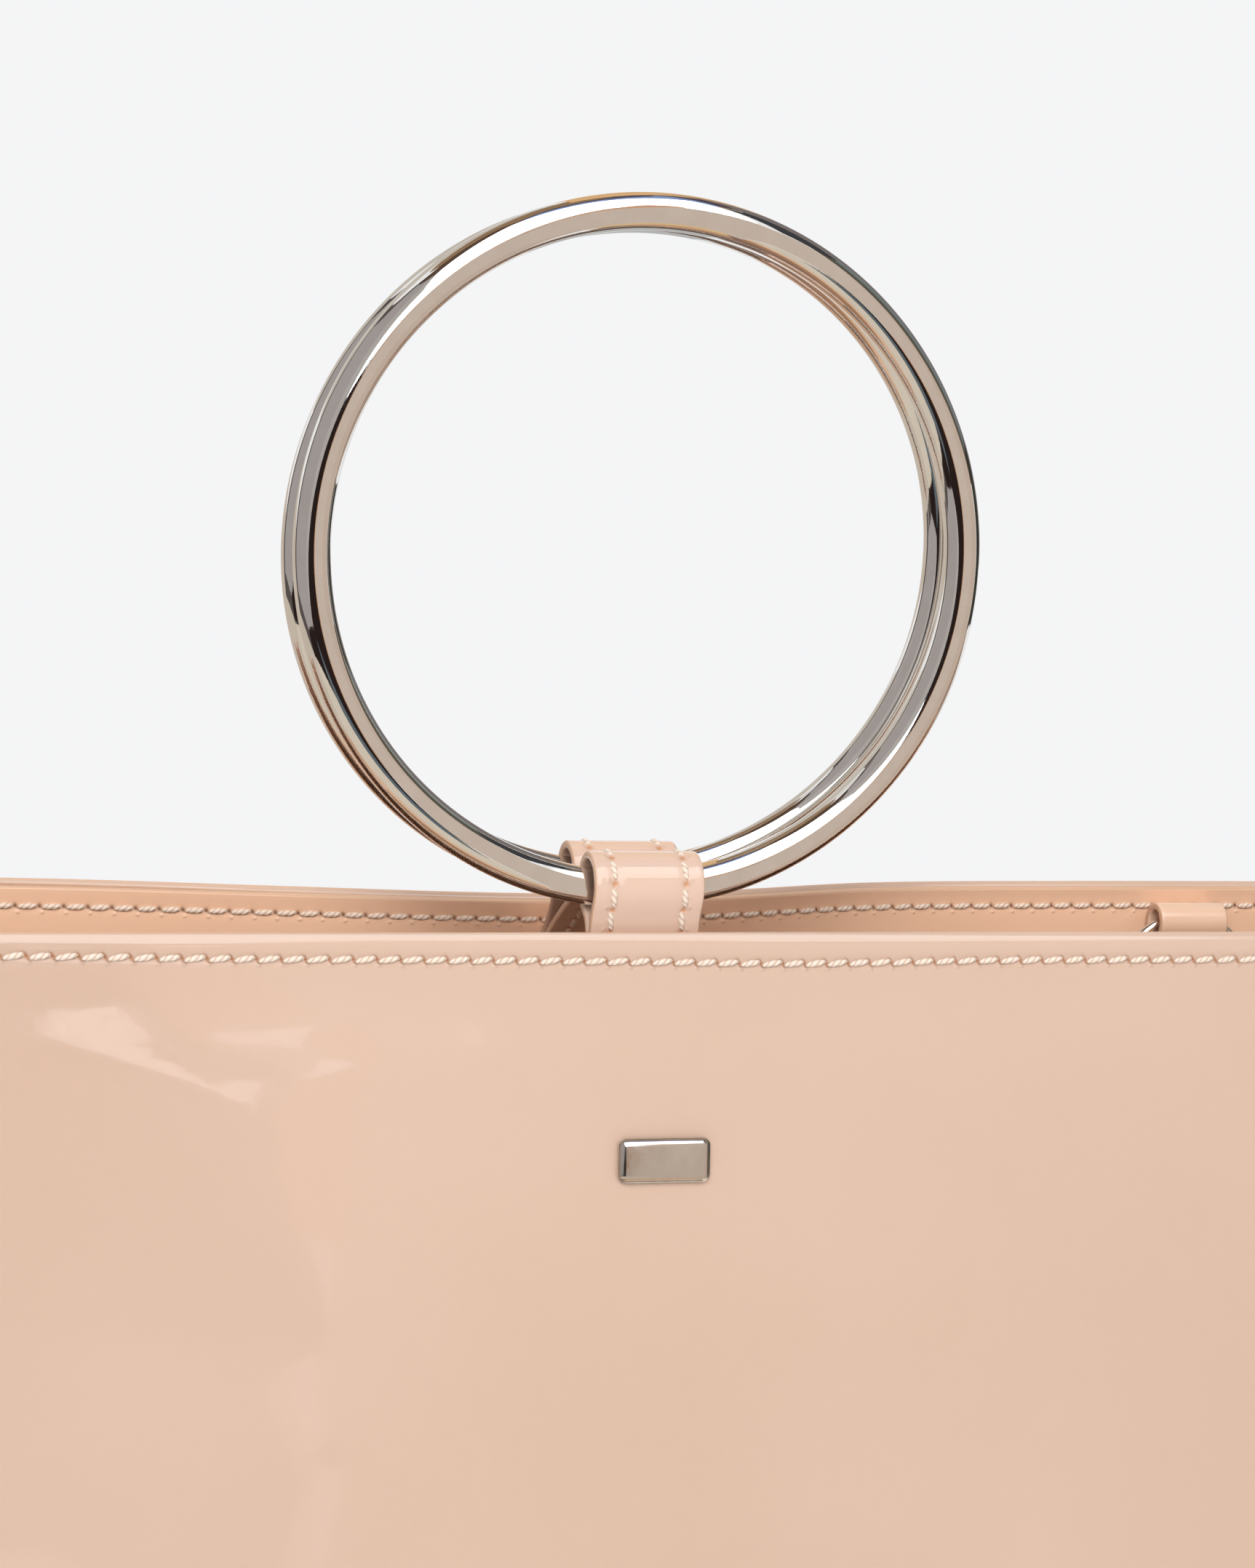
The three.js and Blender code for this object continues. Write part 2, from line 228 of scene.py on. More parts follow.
def blendColours(tree, factor, first, second):
    return addNode(tree, "ShaderNodeMix", {0: factor, 6: first, 7: second}, data_type="RGBA").outputs[2]


def newGroup(name, inputs, outputs):
    group = bpy.data.node_groups.new(name, "ShaderNodeTree")
    for label, value in inputs.items():
        kind = "NodeSocketColor" if isinstance(value, tuple) and len(value) == 4 else (
            "NodeSocketVector" if isinstance(value, tuple) else "NodeSocketFloat")
        socket = group.interface.new_socket(name=label, in_out="INPUT", socket_type=kind)
        socket.default_value = value
    for label, kind in outputs.items():
        group.interface.new_socket(name=label, in_out="OUTPUT", socket_type=kind)
    return group, group.nodes.new("NodeGroupInput"), group.nodes.new("NodeGroupOutput")


def buildHideGrain():
    # soft mottling and the faint orange peel under a lacquer coat
    group, start, end = newGroup(
        "hideGrain",
        {"Place": (0.0, 0.0, 0.0), "Cloud Size": 16.0, "Peel Size": 420.0},
        {"Cloud": "NodeSocketFloat", "Peel": "NodeSocketFloat"},
    )
    place = start.outputs["Place"]
    cloud = addNode(group, "ShaderNodeTexNoise", {
        "Vector": place, "Scale": start.outputs["Cloud Size"], "Detail": 3.0, "Roughness": 0.5})
    peel = addNode(group, "ShaderNodeTexNoise", {
        "Vector": place, "Scale": start.outputs["Peel Size"], "Detail": 2.0, "Roughness": 0.45})
    group.links.new(cloud.outputs["Fac"], end.inputs["Cloud"])
    group.links.new(peel.outputs["Fac"], end.inputs["Peel"])
    return group


# the dimple at each hole, in stitches along the row and millimetres off it
dimple = {
    "rimPlace": 0.1, "rimLength": 0.09, "rimOff": 0.92, "rimWidth": 0.24, "rimHeight": 0.14,
    "holeDepth": 0.15, "troughWidth": 0.85, "troughDepth": 0.16,
}


def buildSeamPucker():
    # the seam map counts stitches along U and millimetres off the row along V
    group, start, end = newGroup(
        "seamPucker",
        {"Seam": (0.0, 0.0, 0.0), "Depth": 1.0, "Slant": 0.16, "Slit": 0.5, "Width": 0.05},
        {"Height": "NodeSocketFloat", "Hole": "NodeSocketFloat"},
    )
    parts = addNode(group, "ShaderNodeSeparateXYZ", {0: start.outputs["Seam"]})
    along, off = parts.outputs[0], parts.outputs[1]
    near = maths(group, "SUBTRACT", along, maths(group, "ROUND", along))
    slanted = maths(group, "ADD", near, maths(group, "MULTIPLY", off, start.outputs["Slant"]))
    hole = maths(group, "MULTIPLY", bell(group, slanted, start.outputs["Width"]),
                 bell(group, off, start.outputs["Slit"]))
    rimAlong = bell(group, maths(group, "SUBTRACT", near, dimple["rimPlace"]), dimple["rimLength"])
    rim = maths(group, "MULTIPLY", rimAlong,
                bell(group, maths(group, "ADD", off, dimple["rimOff"]), dimple["rimWidth"]))
    trough = bell(group, off, dimple["troughWidth"])
    height = maths(group, "SUBTRACT", maths(group, "MULTIPLY", rim, dimple["rimHeight"]),
                   maths(group, "MULTIPLY", hole, dimple["holeDepth"]))
    height = maths(group, "SUBTRACT", height, maths(group, "MULTIPLY", trough, dimple["troughDepth"]))
    group.links.new(maths(group, "MULTIPLY", height, start.outputs["Depth"]), end.inputs["Height"])
    group.links.new(hole, end.inputs["Hole"])
    return group


hideGrain = buildHideGrain()
seamPucker = buildSeamPucker()


def startMaterial(name):
    material = bpy.data.materials.new(name)
    material.use_nodes = True
    tree = material.node_tree
    tree.nodes.clear()
    out = tree.nodes.new("ShaderNodeOutputMaterial")
    shader = tree.nodes.new("ShaderNodeBsdfPrincipled")
    tree.links.new(shader.outputs[0], out.inputs[0])
    place = tree.nodes.new("ShaderNodeTexCoord").outputs["Object"]
    return material, tree, shader, place


def ramp(tree, factor, *stops):
    node = addNode(tree, "ShaderNodeValToRGB", {0: factor})
    while len(node.color_ramp.elements) < len(stops):
        node.color_ramp.elements.new(0.5)
    for element, (where, colour) in zip(node.color_ramp.elements, stops):
        element.position = where
        element.color = (*colour, 1)
    return node.outputs[0]


lacquer = {
    "cloudSize": 14.0, "peelSize": 380.0, "toneLow": 0.3, "toneHigh": 0.72,
    "glossLow": 0.3, "glossHigh": 0.7, "holeRawEdgeAndShade": 0.9, "coatRoughness": 0.02, "index": 1.5,
}


def leather(name, light, deep, hole=None, seam=None, roughness=(0.05, 0.11), coat=0.6, peel=0.012):
    material, tree, shader, place = startMaterial(name)
    grain = addGroup(tree, hideGrain, {
        "Place": place, "Cloud Size": lacquer["cloudSize"], "Peel Size": lacquer["peelSize"]})
    tone = ramp(tree, grain.outputs["Cloud"], (lacquer["toneLow"], deep), (lacquer["toneHigh"], light))
    height = maths(tree, "MULTIPLY", grain.outputs["Peel"], peel)
    if seam:
        where = addNode(tree, "ShaderNodeUVMap", uv_map="seam")
        pucker = addGroup(tree, seamPucker, {"Seam": where.outputs[0], **seam})
        height = maths(tree, "ADD", height, pucker.outputs["Height"])
        # the holes are tinted: the raw leather's tan on the hide and tabs, and near-black painted shade in
        # the holes on the facing
        tint = maths(tree, "MULTIPLY", pucker.outputs["Hole"], lacquer["holeRawEdgeAndShade"])
        tone = blendColours(tree, tint, tone, (*hole, 1))
    bump = addNode(tree, "ShaderNodeBump", {"Strength": 1.0, "Distance": mm, "Height": height})
    rough = addNode(tree, "ShaderNodeMapRange", {
        "Value": grain.outputs["Cloud"], "From Min": lacquer["glossLow"], "From Max": lacquer["glossHigh"],
        "To Min": roughness[0], "To Max": roughness[1]})
    fillInputs(tree, shader, {
        "Base Color": tone, "Normal": bump.outputs[0], "Roughness": rough.outputs[0],
        "Coat Weight": coat, "Coat Roughness": lacquer["coatRoughness"], "IOR": lacquer["index"]})
    return material


polish = {
    "spotSize": 260.0, "toneLow": 0.35, "toneHigh": 0.7, "smoothest": 0.7, "roughest": 1.4,
    "scratchSize": 900.0, "scratchDepth": 0.05,
}


def metal(name, light, deep, roughness, scratch):
    material, tree, shader, place = startMaterial(name)
    spots = addNode(tree, "ShaderNodeTexNoise", {
        "Vector": place, "Scale": polish["spotSize"], "Detail": 4.0, "Roughness": 0.6})
    tone = ramp(tree, spots.outputs["Fac"], (polish["toneLow"], deep), (polish["toneHigh"], light))
    rough = addNode(tree, "ShaderNodeMapRange", {
        "Value": spots.outputs["Fac"],
        "To Min": roughness * polish["smoothest"], "To Max": roughness * polish["roughest"]})
    lines = addNode(tree, "ShaderNodeTexNoise", {
        "Vector": place, "Scale": polish["scratchSize"], "Detail": 2.0})
    bump = addNode(tree, "ShaderNodeBump", {
        "Strength": scratch, "Distance": mm * polish["scratchDepth"], "Height": lines.outputs["Fac"]})
    fillInputs(tree, shader, {
        "Base Color": tone, "Metallic": 1, "Roughness": rough.outputs[0], "Normal": bump.outputs[0]})
    return material


yarn = {
    "turns": 2.0, "plies": 3.5, "plyDepth": 0.12, "tuckFrom": 0.36, "tuckTo": 0.49,
    "plyShadeTones": ((0.0, (0.56, 0.40, 0.30)), (0.4, (0.74, 0.59, 0.475)), (1.0, (0.82, 0.69, 0.58))),
    "tuckTone": (0.60, 0.33, 0.17),
}


def threadMaterial():
    material, tree, shader, place = startMaterial("threadCream")
    where = addNode(tree, "ShaderNodeUVMap", uv_map="ply")
    parts = addNode(tree, "ShaderNodeSeparateXYZ", {0: where.outputs[0]})
    turn = maths(tree, "ADD", maths(tree, "MULTIPLY", parts.outputs[0], yarn["turns"]),
                 maths(tree, "MULTIPLY", parts.outputs[1], yarn["plies"]))
    ply = maths(tree, "ABSOLUTE", maths(tree, "SINE", maths(tree, "MULTIPLY", turn, math.pi)))
    # the grooves between the plies are painted darker and their crests lighter: painted shade and painted
    # highlight on the twisted strands
    tone = ramp(tree, ply, *yarn["plyShadeTones"])
    # the ends take up the tan of the raw leather in the holes
    ends = maths(tree, "ABSOLUTE", maths(tree, "SUBTRACT", parts.outputs[1], 0.5))
    tucked = addNode(tree, "ShaderNodeMapRange", {
        "Value": ends, "From Min": yarn["tuckFrom"], "From Max": yarn["tuckTo"]})
    tone = blendColours(tree, tucked.outputs[0], tone, (*yarn["tuckTone"], 1))
    bump = addNode(tree, "ShaderNodeBump", {
        "Strength": 0.8, "Distance": mm * yarn["plyDepth"], "Height": ply})
    fillInputs(tree, shader, {
        "Base Color": tone, "Normal": bump.outputs[0], "Roughness": 0.5, "Sheen Weight": 0.25})
    return material


edgeSeam = {"Depth": 1.0, "Slant": 0.16, "Slit": 0.52, "Width": 0.085}
innerSeam = {"Depth": 0.9, "Slant": 0.05, "Slit": 0.36, "Width": 0.085}
tabSeam = {"Depth": 0.9, "Slant": 0.0, "Slit": 0.42, "Width": 0.1}
patent = leather("patentLeather", (0.62, 0.444, 0.348), (0.586, 0.412, 0.316), (0.38, 0.14, 0.05), edgeSeam)
# the facing's leather is a paler copy of the hide: painted light stands in for the fill that the shade inside
# the mouth takes away
facingPatentPaintedFill = leather(
    "facingPatentPaintedFill", (0.885, 0.597, 0.418), (0.845, 0.55, 0.38), (0.14, 0.055, 0.03), innerSeam)
# the strap tabs' leather is a paler copy too: painted light for the shade that they sit in
strapPatentPaintedFill = leather("strapPatentPaintedFill", (0.78, 0.541, 0.397), (0.745, 0.508, 0.366), peel=0.008)
tabPatent = leather(
    "tabPatent", (0.68, 0.487, 0.385), (0.65, 0.457, 0.355), (0.55, 0.22, 0.085), tabSeam, peel=0.008)
edgePaint = leather(
    "edgePaint", (0.64, 0.41, 0.28), (0.58, 0.36, 0.23), roughness=(0.3, 0.45), coat=0.2, peel=0.03)
liningHide = leather(
    "liningHide", (0.62, 0.43, 0.31), (0.55, 0.37, 0.26), roughness=(0.6, 0.8), coat=0.0, peel=0.15)
ringMetal = metal("ringMetal", (0.90, 0.885, 0.865), (0.85, 0.83, 0.80), 0.035, 0.05)
wireMetal = metal("wireMetal", (0.90, 0.89, 0.88), (0.82, 0.80, 0.78), 0.05, 0.05)
plaqueMetal = metal("plaqueMetal", (0.80, 0.76, 0.72), (0.72, 0.68, 0.63), 0.16, 0.2)
thread = threadMaterial()

body = {
    "width": 264, "height": 160, "depth": 50, "mouthDepth": 48,
    "wall": 1.6, "gap": 0.3, "cornerBend": 7, "lip": 3, "bulge": 6, "backBow": 9.5, "backSag": 0.7,
    "swell": curveThrough([(0, 0), (0.15, 0.55), (0.42, 1), (0.68, 0.86), (0.86, 0.4), (0.95, 0.08), (1, 0)]),
    "bow": curveThrough([
        (-1, 0), (-0.62, 0.18), (-0.35, 0.6), (-0.12, 0.96), (0.03, 1),
        (0.17, 0.75), (0.36, 0.2), (0.6, 0.04), (1, 0)]),
    "bowLeft": curveThrough([(0, 0), (0.45, 0.06), (0.75, 0.4), (0.9, 0.8), (1, 1)]),
    "rollDepth": 3.4, "paintDrop": 0.3,
    "rollIn": curveThrough([(-132, 0.45), (-60, 0.6), (0, 1.05), (60, 1.35), (132, 1.35)]),
    "seamDrop": curveThrough([
        (-132, 2.9), (-88, 3.2), (-63, 3.6), (-38, 3.8), (0, 4.2),
        (20, 4.5), (55, 4.1), (92, 4.1), (132, 4.0)]),
    "backSeamDrop": 4.0,
}
halfWidth = body["width"] / 2


def halfDepth(height):
    return mix(body["depth"], body["mouthDepth"], height) / 2


def panelOut(side, x, height):
    across = min(max(x / halfWidth, -1), 1)
    full = (1 - across * across) * body["swell"](height) * body["bulge"]
    drawn = body["bow"](across) * body["bowLeft"](height) * body["backBow"] if side > 0 else 0
    return halfDepth(height) + full - drawn


def topEdge(side, x):
    return body["height"] - (body["bow"](x / halfWidth) * body["backSag"] if side > 0 else 0)


def seamDrop(side, x):
    return body["seamDrop"](x) if side < 0 else body["backSeamDrop"]


def roll(x, drop):
    # the turned edge leans inwards over its last millimetres
    return body["rollIn"](x) * max(0, 1 - drop / body["rollDepth"]) ** 3


# stitches lie closer together near the middle of the bag
spacing = {"inset": 1.2, "middle": 3.24, "growth": 0.3, "reach": 90, "widest": 3.6, "usual": 3.4}


def makeHoles(start, end):
    holes = [start]
    while holes[-1] < end:
        wider = spacing["growth"] * (holes[-1] / spacing["reach"]) ** 2
        holes.append(holes[-1] + min(spacing["middle"] + wider, spacing["widest"]))
    return holes


holes = makeHoles(-halfWidth + spacing["inset"], halfWidth - spacing["inset"])
# V of a face without a seam, far off every row
noSeam = -60


def stitchCount(x):
    i = min(max(int((x + halfWidth) / spacing["usual"]), 0), len(holes) - 2)
    while i > 0 and holes[i] > x:
        i -= 1
    while i < len(holes) - 2 and holes[i + 1] < x:
        i += 1
    return i + (x - holes[i]) / (holes[i + 1] - holes[i])


# one slack line runs down from the left in the front hide
crease = {
    "line": curveThrough([(-132, 148), (-92, 146), (-70, 141.4), (-58, 135.5), (-44, 128)]),
    "end": -44, "fade": 14, "height": 0.045, "width": 1.6,
}
waves = {
    "rest": 0.32, "swing": 0.3, "slowLength": (52, 34), "slowSeed": 3.1,
    "fineShare": 0.45, "fineLength": (21, 15), "fineSeed": 5.3, "fineShift": 7,
    "topFade": (152, 140), "footFade": (6, 24), "sideFade": (0, 12),
}


def ripple(side, x, z):
    # slow waves in the lacquered hide, always outwards, none near the seams
    quiet = ease(*waves["topFade"], z) * ease(*waves["footFade"], z)
    quiet = quiet * ease(*waves["sideFade"], halfWidth - abs(x))
    (slowX, slowZ), (fineX, fineZ) = waves["slowLength"], waves["fineLength"]
    slow = noise.noise(Vector((x / slowX, side * waves["slowSeed"], z / slowZ)))
    fine = noise.noise(Vector((x / fineX + waves["fineShift"], side * waves["fineSeed"], z / fineZ)))
    fold = 0
    if side < 0:
        off = (z - crease["line"](x)) / crease["width"]
        fold = crease["height"] * math.exp(-off ** 2) * ease(crease["end"], crease["end"] - crease["fade"], x)
    return max(0.0, waves["rest"] + waves["swing"] * (slow + waves["fineShare"] * fine)) * quiet + fold


print("panels")
panelPiece = {
    "columns": 176, "lipRows": 2, "bendRows": 6, "wallRows": 88, "edge": 0.62, "edgeSteps": 6,
    "topDrops": (2.9, 2.4, 1.95, 1.55, 1.2, 0.95, 0.75, 0),
}


def makePanel(side, name, node):
    foot = halfDepth(0) - body["cornerBend"]
    bend = body["cornerBend"]
    lip = [("lip", i / panelPiece["lipRows"]) for i in range(panelPiece["lipRows"])]
    turn = [("bend", i / panelPiece["bendRows"]) for i in range(panelPiece["bendRows"])]
    low = bend / body["height"]
    high = 1 - body["rollDepth"] / body["height"]
    wall = [("wall", mix(low, high, i / panelPiece["wallRows"])) for i in range(panelPiece["wallRows"] + 1)]
    wall += [("wall", 1 - drop / body["height"]) for drop in panelPiece["topDrops"]]
    stations = lip + turn + wall

    def place(u, v):
        x = mix(-halfWidth, halfWidth, u)
        kind, t = stations[round(v * (len(stations) - 1))]
        if kind == "lip":
            return x, side * (foot - body["lip"] * (1 - t)), 0
        if kind == "bend":
            angle = t * math.pi / 2
            return x, side * (foot + bend * math.sin(angle)), bend * (1 - math.cos(angle))
        z = t * topEdge(side, x)
        out = panelOut(side, x, t) - roll(x, (1 - t) * body["height"])
        return x, side * (out + ripple(side, x, z)), z

    def seam(u, v):
        x = mix(-halfWidth, halfWidth, u)
        kind, t = stations[round(v * (len(stations) - 1))]
        if kind != "wall":
            return stitchCount(x), noSeam
        return stitchCount(x), t * topEdge(side, x) - topEdge(side, x) + seamDrop(side, x)

    obj = sheetFrom(name, panelPiece["columns"], len(stations) - 1, place, seam, (0, side, 0))
    obj.data.materials.append(patent)
    obj.data.materials.append(liningHide)
    thicken(obj, body["wall"], -1, material_offset=1)
    roundEdges(obj, panelPiece["edge"], segments=panelPiece["edgeSteps"])
    # the cut edge is painted
    obj.data.materials.append(edgePaint)
    for polygon in obj.data.polygons:
        middle = polygon.center / mm
        if middle.z > topEdge(side, middle.x) - body["paintDrop"]:
            polygon.material_index = len(obj.data.materials) - 1
    smooth(obj, 50)
    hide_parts(node)
    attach(obj, "bag")


makePanel(-1, "frontPanelHide", "front_panel")
makePanel(1, "backPanelHide", "back_panel")

print("facings")
facingPiece = {"wall": 1.0, "height": 36, "drop": 1.2, "end": 123.2, "edge": 0.3, "columns": 122, "rows": 36}


def facingFace(side, x, height):
    return panelOut(side, x, height) - body["wall"] - body["gap"] - facingPiece["wall"]


def facingHeight(side, x, height):
    # the band ends a little below the turned edge
    return height * topEdge(side, x) - facingPiece["drop"] * ease(0.9, 1, height)


def makeFacing(side, name, node):
    low = 1 - facingPiece["height"] / body["height"]

    def place(u, v):
        x = mix(-facingPiece["end"], facingPiece["end"], u)
        height = mix(low, 1, v)
        z = facingHeight(side, x, height)
        return x, side * (facingFace(side, x, height) - roll(x, topEdge(side, x) - z)), z

    def seam(u, v):
        x = mix(-facingPiece["end"], facingPiece["end"], u)
        z = facingHeight(side, x, mix(low, 1, v))
        return stitchCount(x), z - topEdge(side, x) + seamDrop(side, x)

    obj = sheetFrom(name, facingPiece["columns"], facingPiece["rows"], place, seam, (0, -side, 0))
    # the facing takes the paler copy of the hide, with painted light
    obj.data.materials.append(facingPatentPaintedFill)
    obj.data.materials.append(edgePaint)
    thicken(obj, facingPiece["wall"], -1, material_offset_rim=1)
    roundEdges(obj, facingPiece["edge"])
    smooth(obj, 50)
    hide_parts(node)
    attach(obj, "bag")


makeFacing(-1, "frontFacingBand", "front_facing")
makeFacing(1, "backFacingBand", "back_facing")

print("gussets")
gussetPiece = {
    "wall": 1.4, "inset": 0.5, "drop": 1.5, "fold": 10, "flange": 8, "foot": 3.6, "edge": 0.45,
    "cornerRadius": 2.2, "flangeSteps": (0, 0.35, 0.7), "cornerSteps": (0, 0.33, 0.66),
    "rows": 52, "webSteps": 32, "webEnd": 0.9,
    "foldEnd": 0.96, "foldPower": 1.2, "soften": 0.05, "softWidth": 0.09,
    "foldIn": curveThrough([
        (0, 0), (0.06, 0.02), (0.09, 0.03), (0.3, 0.16), (0.5, 0.34), (0.7, 0.6), (0.86, 0.86), (1, 1)]),
    "flangeLeft": curveThrough([(0, 0.3), (0.06, 0.3), (0.09, 1), (1, 1)]),
}


def makeGusset(end, name, node):
    face = halfWidth - gussetPiece["inset"]
    bend = body["cornerBend"] - body["wall"]
    low = gussetPiece["foot"] / body["height"]
    flat, turn = gussetPiece["flangeSteps"], gussetPiece["cornerSteps"]
    steps, webEnd = gussetPiece["webSteps"], gussetPiece["webEnd"]
    path = [("flange", -1, t) for t in flat] + [("corner", -1, t) for t in turn]
    path += [("web", 0, mix(-webEnd, webEnd, i / steps)) for i in range(steps + 1)]
    path += [("corner", 1, t) for t in reversed(turn)] + [("flange", 1, t) for t in reversed(flat)]

    def place(u, v):
        height = mix(low, 1, v)
        z = height * body["height"]
        if z < body["cornerBend"]:
            inside = halfDepth(0) - body["cornerBend"]
            inside += math.sqrt(max(bend * bend - (body["cornerBend"] - z) ** 2, 0))
        else:
            inside = halfDepth(height) - body["wall"]
        reach = inside - body["gap"]
        fold = gussetPiece["foldIn"](height) * gussetPiece["fold"]
        flange = min(max(gussetPiece["flangeLeft"](height), 0.3), 1) * gussetPiece["flange"]
        kind, side, t = path[round(u * (len(path) - 1))]
        radius = gussetPiece["cornerRadius"]
        if kind == "flange":
            x, y = mix(face - flange, face - radius, t), side * reach
        elif kind == "corner":
            angle = t * math.pi / 2
            x = face - radius + radius * math.sin(angle)
            y = side * (reach - radius + radius * math.cos(angle))
        else:
            x = face - fold * (1 - abs(t) / gussetPiece["foldEnd"]) ** gussetPiece["foldPower"]
            # the fold is soft at its bottom
            x = x + fold * gussetPiece["soften"] * math.exp(-(t / gussetPiece["softWidth"]) ** 2)
            y = t * reach
        top = gussetPiece["drop"] * ease(0.9, 1, height)
        return end * x, y, z - top

    obj = sheetFrom(name, len(path) - 1, gussetPiece["rows"], place, lambda u, v: (0.5, noSeam), (end, 0, 0))
    obj.data.materials.append(patent)
    obj.data.materials.append(liningHide)
    thicken(obj, gussetPiece["wall"], -1, material_offset=1)
    roundEdges(obj, gussetPiece["edge"])
    smooth(obj, 50)
    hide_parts(node)
    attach(obj, "bag")


makeGusset(-1, "leftGussetHide", "left_gusset")
makeGusset(1, "rightGussetHide", "right_gusset")

print("base")
basePiece = {"wall": 1.6, "cover": 1.4, "lap": 2.6, "inset": 0.2, "plateEdge": 0.5, "coverEdge": 0.4}


def softSlab(name, size, middle, edge):
    clearSelection()
    bpy.ops.mesh.primitive_cube_add(size=1, location=[c * mm for c in middle])
    obj = bpy.context.object
    obj.name = name
    obj.scale = [s * mm for s in size]
    settle(obj)
    inEditMode(obj, lambda: bpy.ops.mesh.subdivide(number_cuts=5))
    roundEdges(obj, edge, angle=40, clamp=True)
    smooth(obj, 50)
    return obj


def makeBase():
    plate = halfDepth(0) - body["cornerBend"] - body["lip"] - body["gap"]
    cover = plate + basePiece["lap"]
    long = body["width"] - 2 * basePiece["inset"]
    seat = basePiece["wall"] + body["gap"]
    middle = seat + basePiece["cover"] / 2
    under = softSlab("basePlate", (long, 2 * plate, seat), (0, 0, seat / 2), basePiece["plateEdge"])
    under.data.materials.append(patent)
    size = (long, 2 * cover, basePiece["cover"])
    over = softSlab("baseCover", size, (0, 0, middle), basePiece["coverEdge"])
    over.data.materials.append(liningHide)
    obj = joinAll([under, over], "baseBoard")
    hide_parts("base_panel")
    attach(obj, "bag")


makeBase()

print("ring tabs")
tabPiece = {
    "width": 16, "shift": -1, "leather": 1.2, "edge": 0.34, "hole": 3.65, "reach": 26,
    "backSlope": 12, "neckShare": (0.42, 0.5),
}
strapTabPiece = {"width": 11.5, "leather": 1.1, "edge": 0.34, "hole": 2.0, "reach": 20, "offset": 100.5}
wirePiece = {"outer": 25, "wire": 1.6, "steps": 72, "sides": 16, "jointHalf": 0.2, "jointThin": 0.9}
# how a strip turns round its hole, in degrees, and how far its two layers lie off the middle
stripTurn = {"start": 56, "sweep": 248, "steps": 24, "apart": 0.02, "pointStep": 0.7}
hinges = {j["child"]: [c / mm for c in j["pos_m"]] for j in frame["record"]["behaviour"]["joints"]}


def clearFacing(side, middle, width, height):
    return min(facingFace(side, middle + share * width, height) for share in (-0.5, 0, 0.5))


def stripRoute(centre, route, hole, leatherWall):
    # once up the near side, round the hole and down the far side, as (y, z) points of the strip's middle
    loop = hole + leatherWall / 2
    lay = leatherWall / 2 + stripTurn["apart"]
    path = [centre] + route

    def direction(i):
        a, b = path[max(i - 1, 0)], path[min(i + 1, len(path) - 1)]
        length = math.hypot(b[0] - a[0], b[1] - a[1])
        return (b[0] - a[0]) / length, (b[1] - a[1]) / length

    def offset(i, by):
        dy, dz = direction(i)
        return path[i][0] - dz * by, path[i][1] + dy * by

    down = [offset(i, lay) for i in range(1, len(path))]
    up = [offset(i, -lay) for i in range(1, len(path))]
    dy, dz = direction(0)
    heading = math.atan2(dz, dy)
    turn = []
    for i in range(stripTurn["steps"] + 1):
        angle = heading - math.radians(stripTurn["start"])
        angle -= math.radians(stripTurn["sweep"]) * i / stripTurn["steps"]
        turn.append((centre[0] + loop * math.cos(angle), centre[1] + loop * math.sin(angle)))
    return up[::-1] + turn + down


def evenPath(points, step):
    # a rounded path with points a step apart
    for _ in range(2):
        points = [points[0]] + [
            (mix(a[0], b[0], t), mix(a[1], b[1], t))
            for a, b in zip(points, points[1:]) for t in (0.25, 0.75)
        ] + [points[-1]]
    lengths = [0]
    for a, b in zip(points, points[1:]):
        lengths.append(lengths[-1] + math.hypot(b[0] - a[0], b[1] - a[1]))
    total = lengths[-1]
    count = max(8, round(total / step))
    out, k = [], 0
    for i in range(count + 1):
        want = total * i / count
        while k < len(points) - 2 and lengths[k + 1] < want:
            k += 1
        t = (want - lengths[k]) / max(lengths[k + 1] - lengths[k], 1e-9)
        a, b = points[k], points[k + 1]
        out.append((mix(a[0], b[0], t), mix(a[1], b[1], t)))
    return out, total


def makeTab(name, node, centre, route, piece, middle, stitching=None):
    strip = stripRoute(centre, route, piece["hole"], piece["leather"])
    path, length = evenPath(strip, stripTurn["pointStep"])
    half = piece["width"] / 2

    def place(u, v):
        y, z = path[round(v * (len(path) - 1))]
        return middle + mix(-half, half, u), y, z

    def seam(u, v):
        # U counts stitches along the strip, V is the distance from the nearer row
        if not stitching:
            return 0.5, noSeam
        off = (half - stitching["inset"]) - abs(mix(-half, half, u))
        return v * length / stitching["pitch"], off

    obj = sheetFrom(name, 16, len(path) - 1, place, seam)
    # the outer face looks away from the hole
    obj.data.update()
    top = max(obj.data.polygons, key=lambda p: p.center.z)
    if top.normal.z < 0:
        inEditMode(obj, lambda: bpy.ops.mesh.flip_normals())
    # ring tabs take their own leather, strap tabs the paler copy with painted light
    obj.data.materials.append(tabPatent if stitching else strapPatentPaintedFill)
    obj.data.materials.append(edgePaint)
    thicken(obj, piece["leather"], 0, material_offset_rim=1)
    roundEdges(obj, piece["edge"], angle=50)
    smooth(obj, 50)
    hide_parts(node)
    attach(obj, "bag")
    return path, length


def frontTabRoute():
    wall, clear = tabPiece["leather"], body["gap"]
    centre = (hinges["front_ring"][1], hinges["front_ring"][2])

    def seat(drop):
        face = clearFacing(-1, tabPiece["shift"], tabPiece["width"], 1 - drop / body["height"])
        return clear + wall - face, body["height"] - drop

    neck = (min(centre[0], seat(0)[0]), body["height"] + clear)
    reach = tabPiece["reach"]
    return centre, [neck, seat(reach / 3), seat(reach * 2 / 3), seat(reach)]


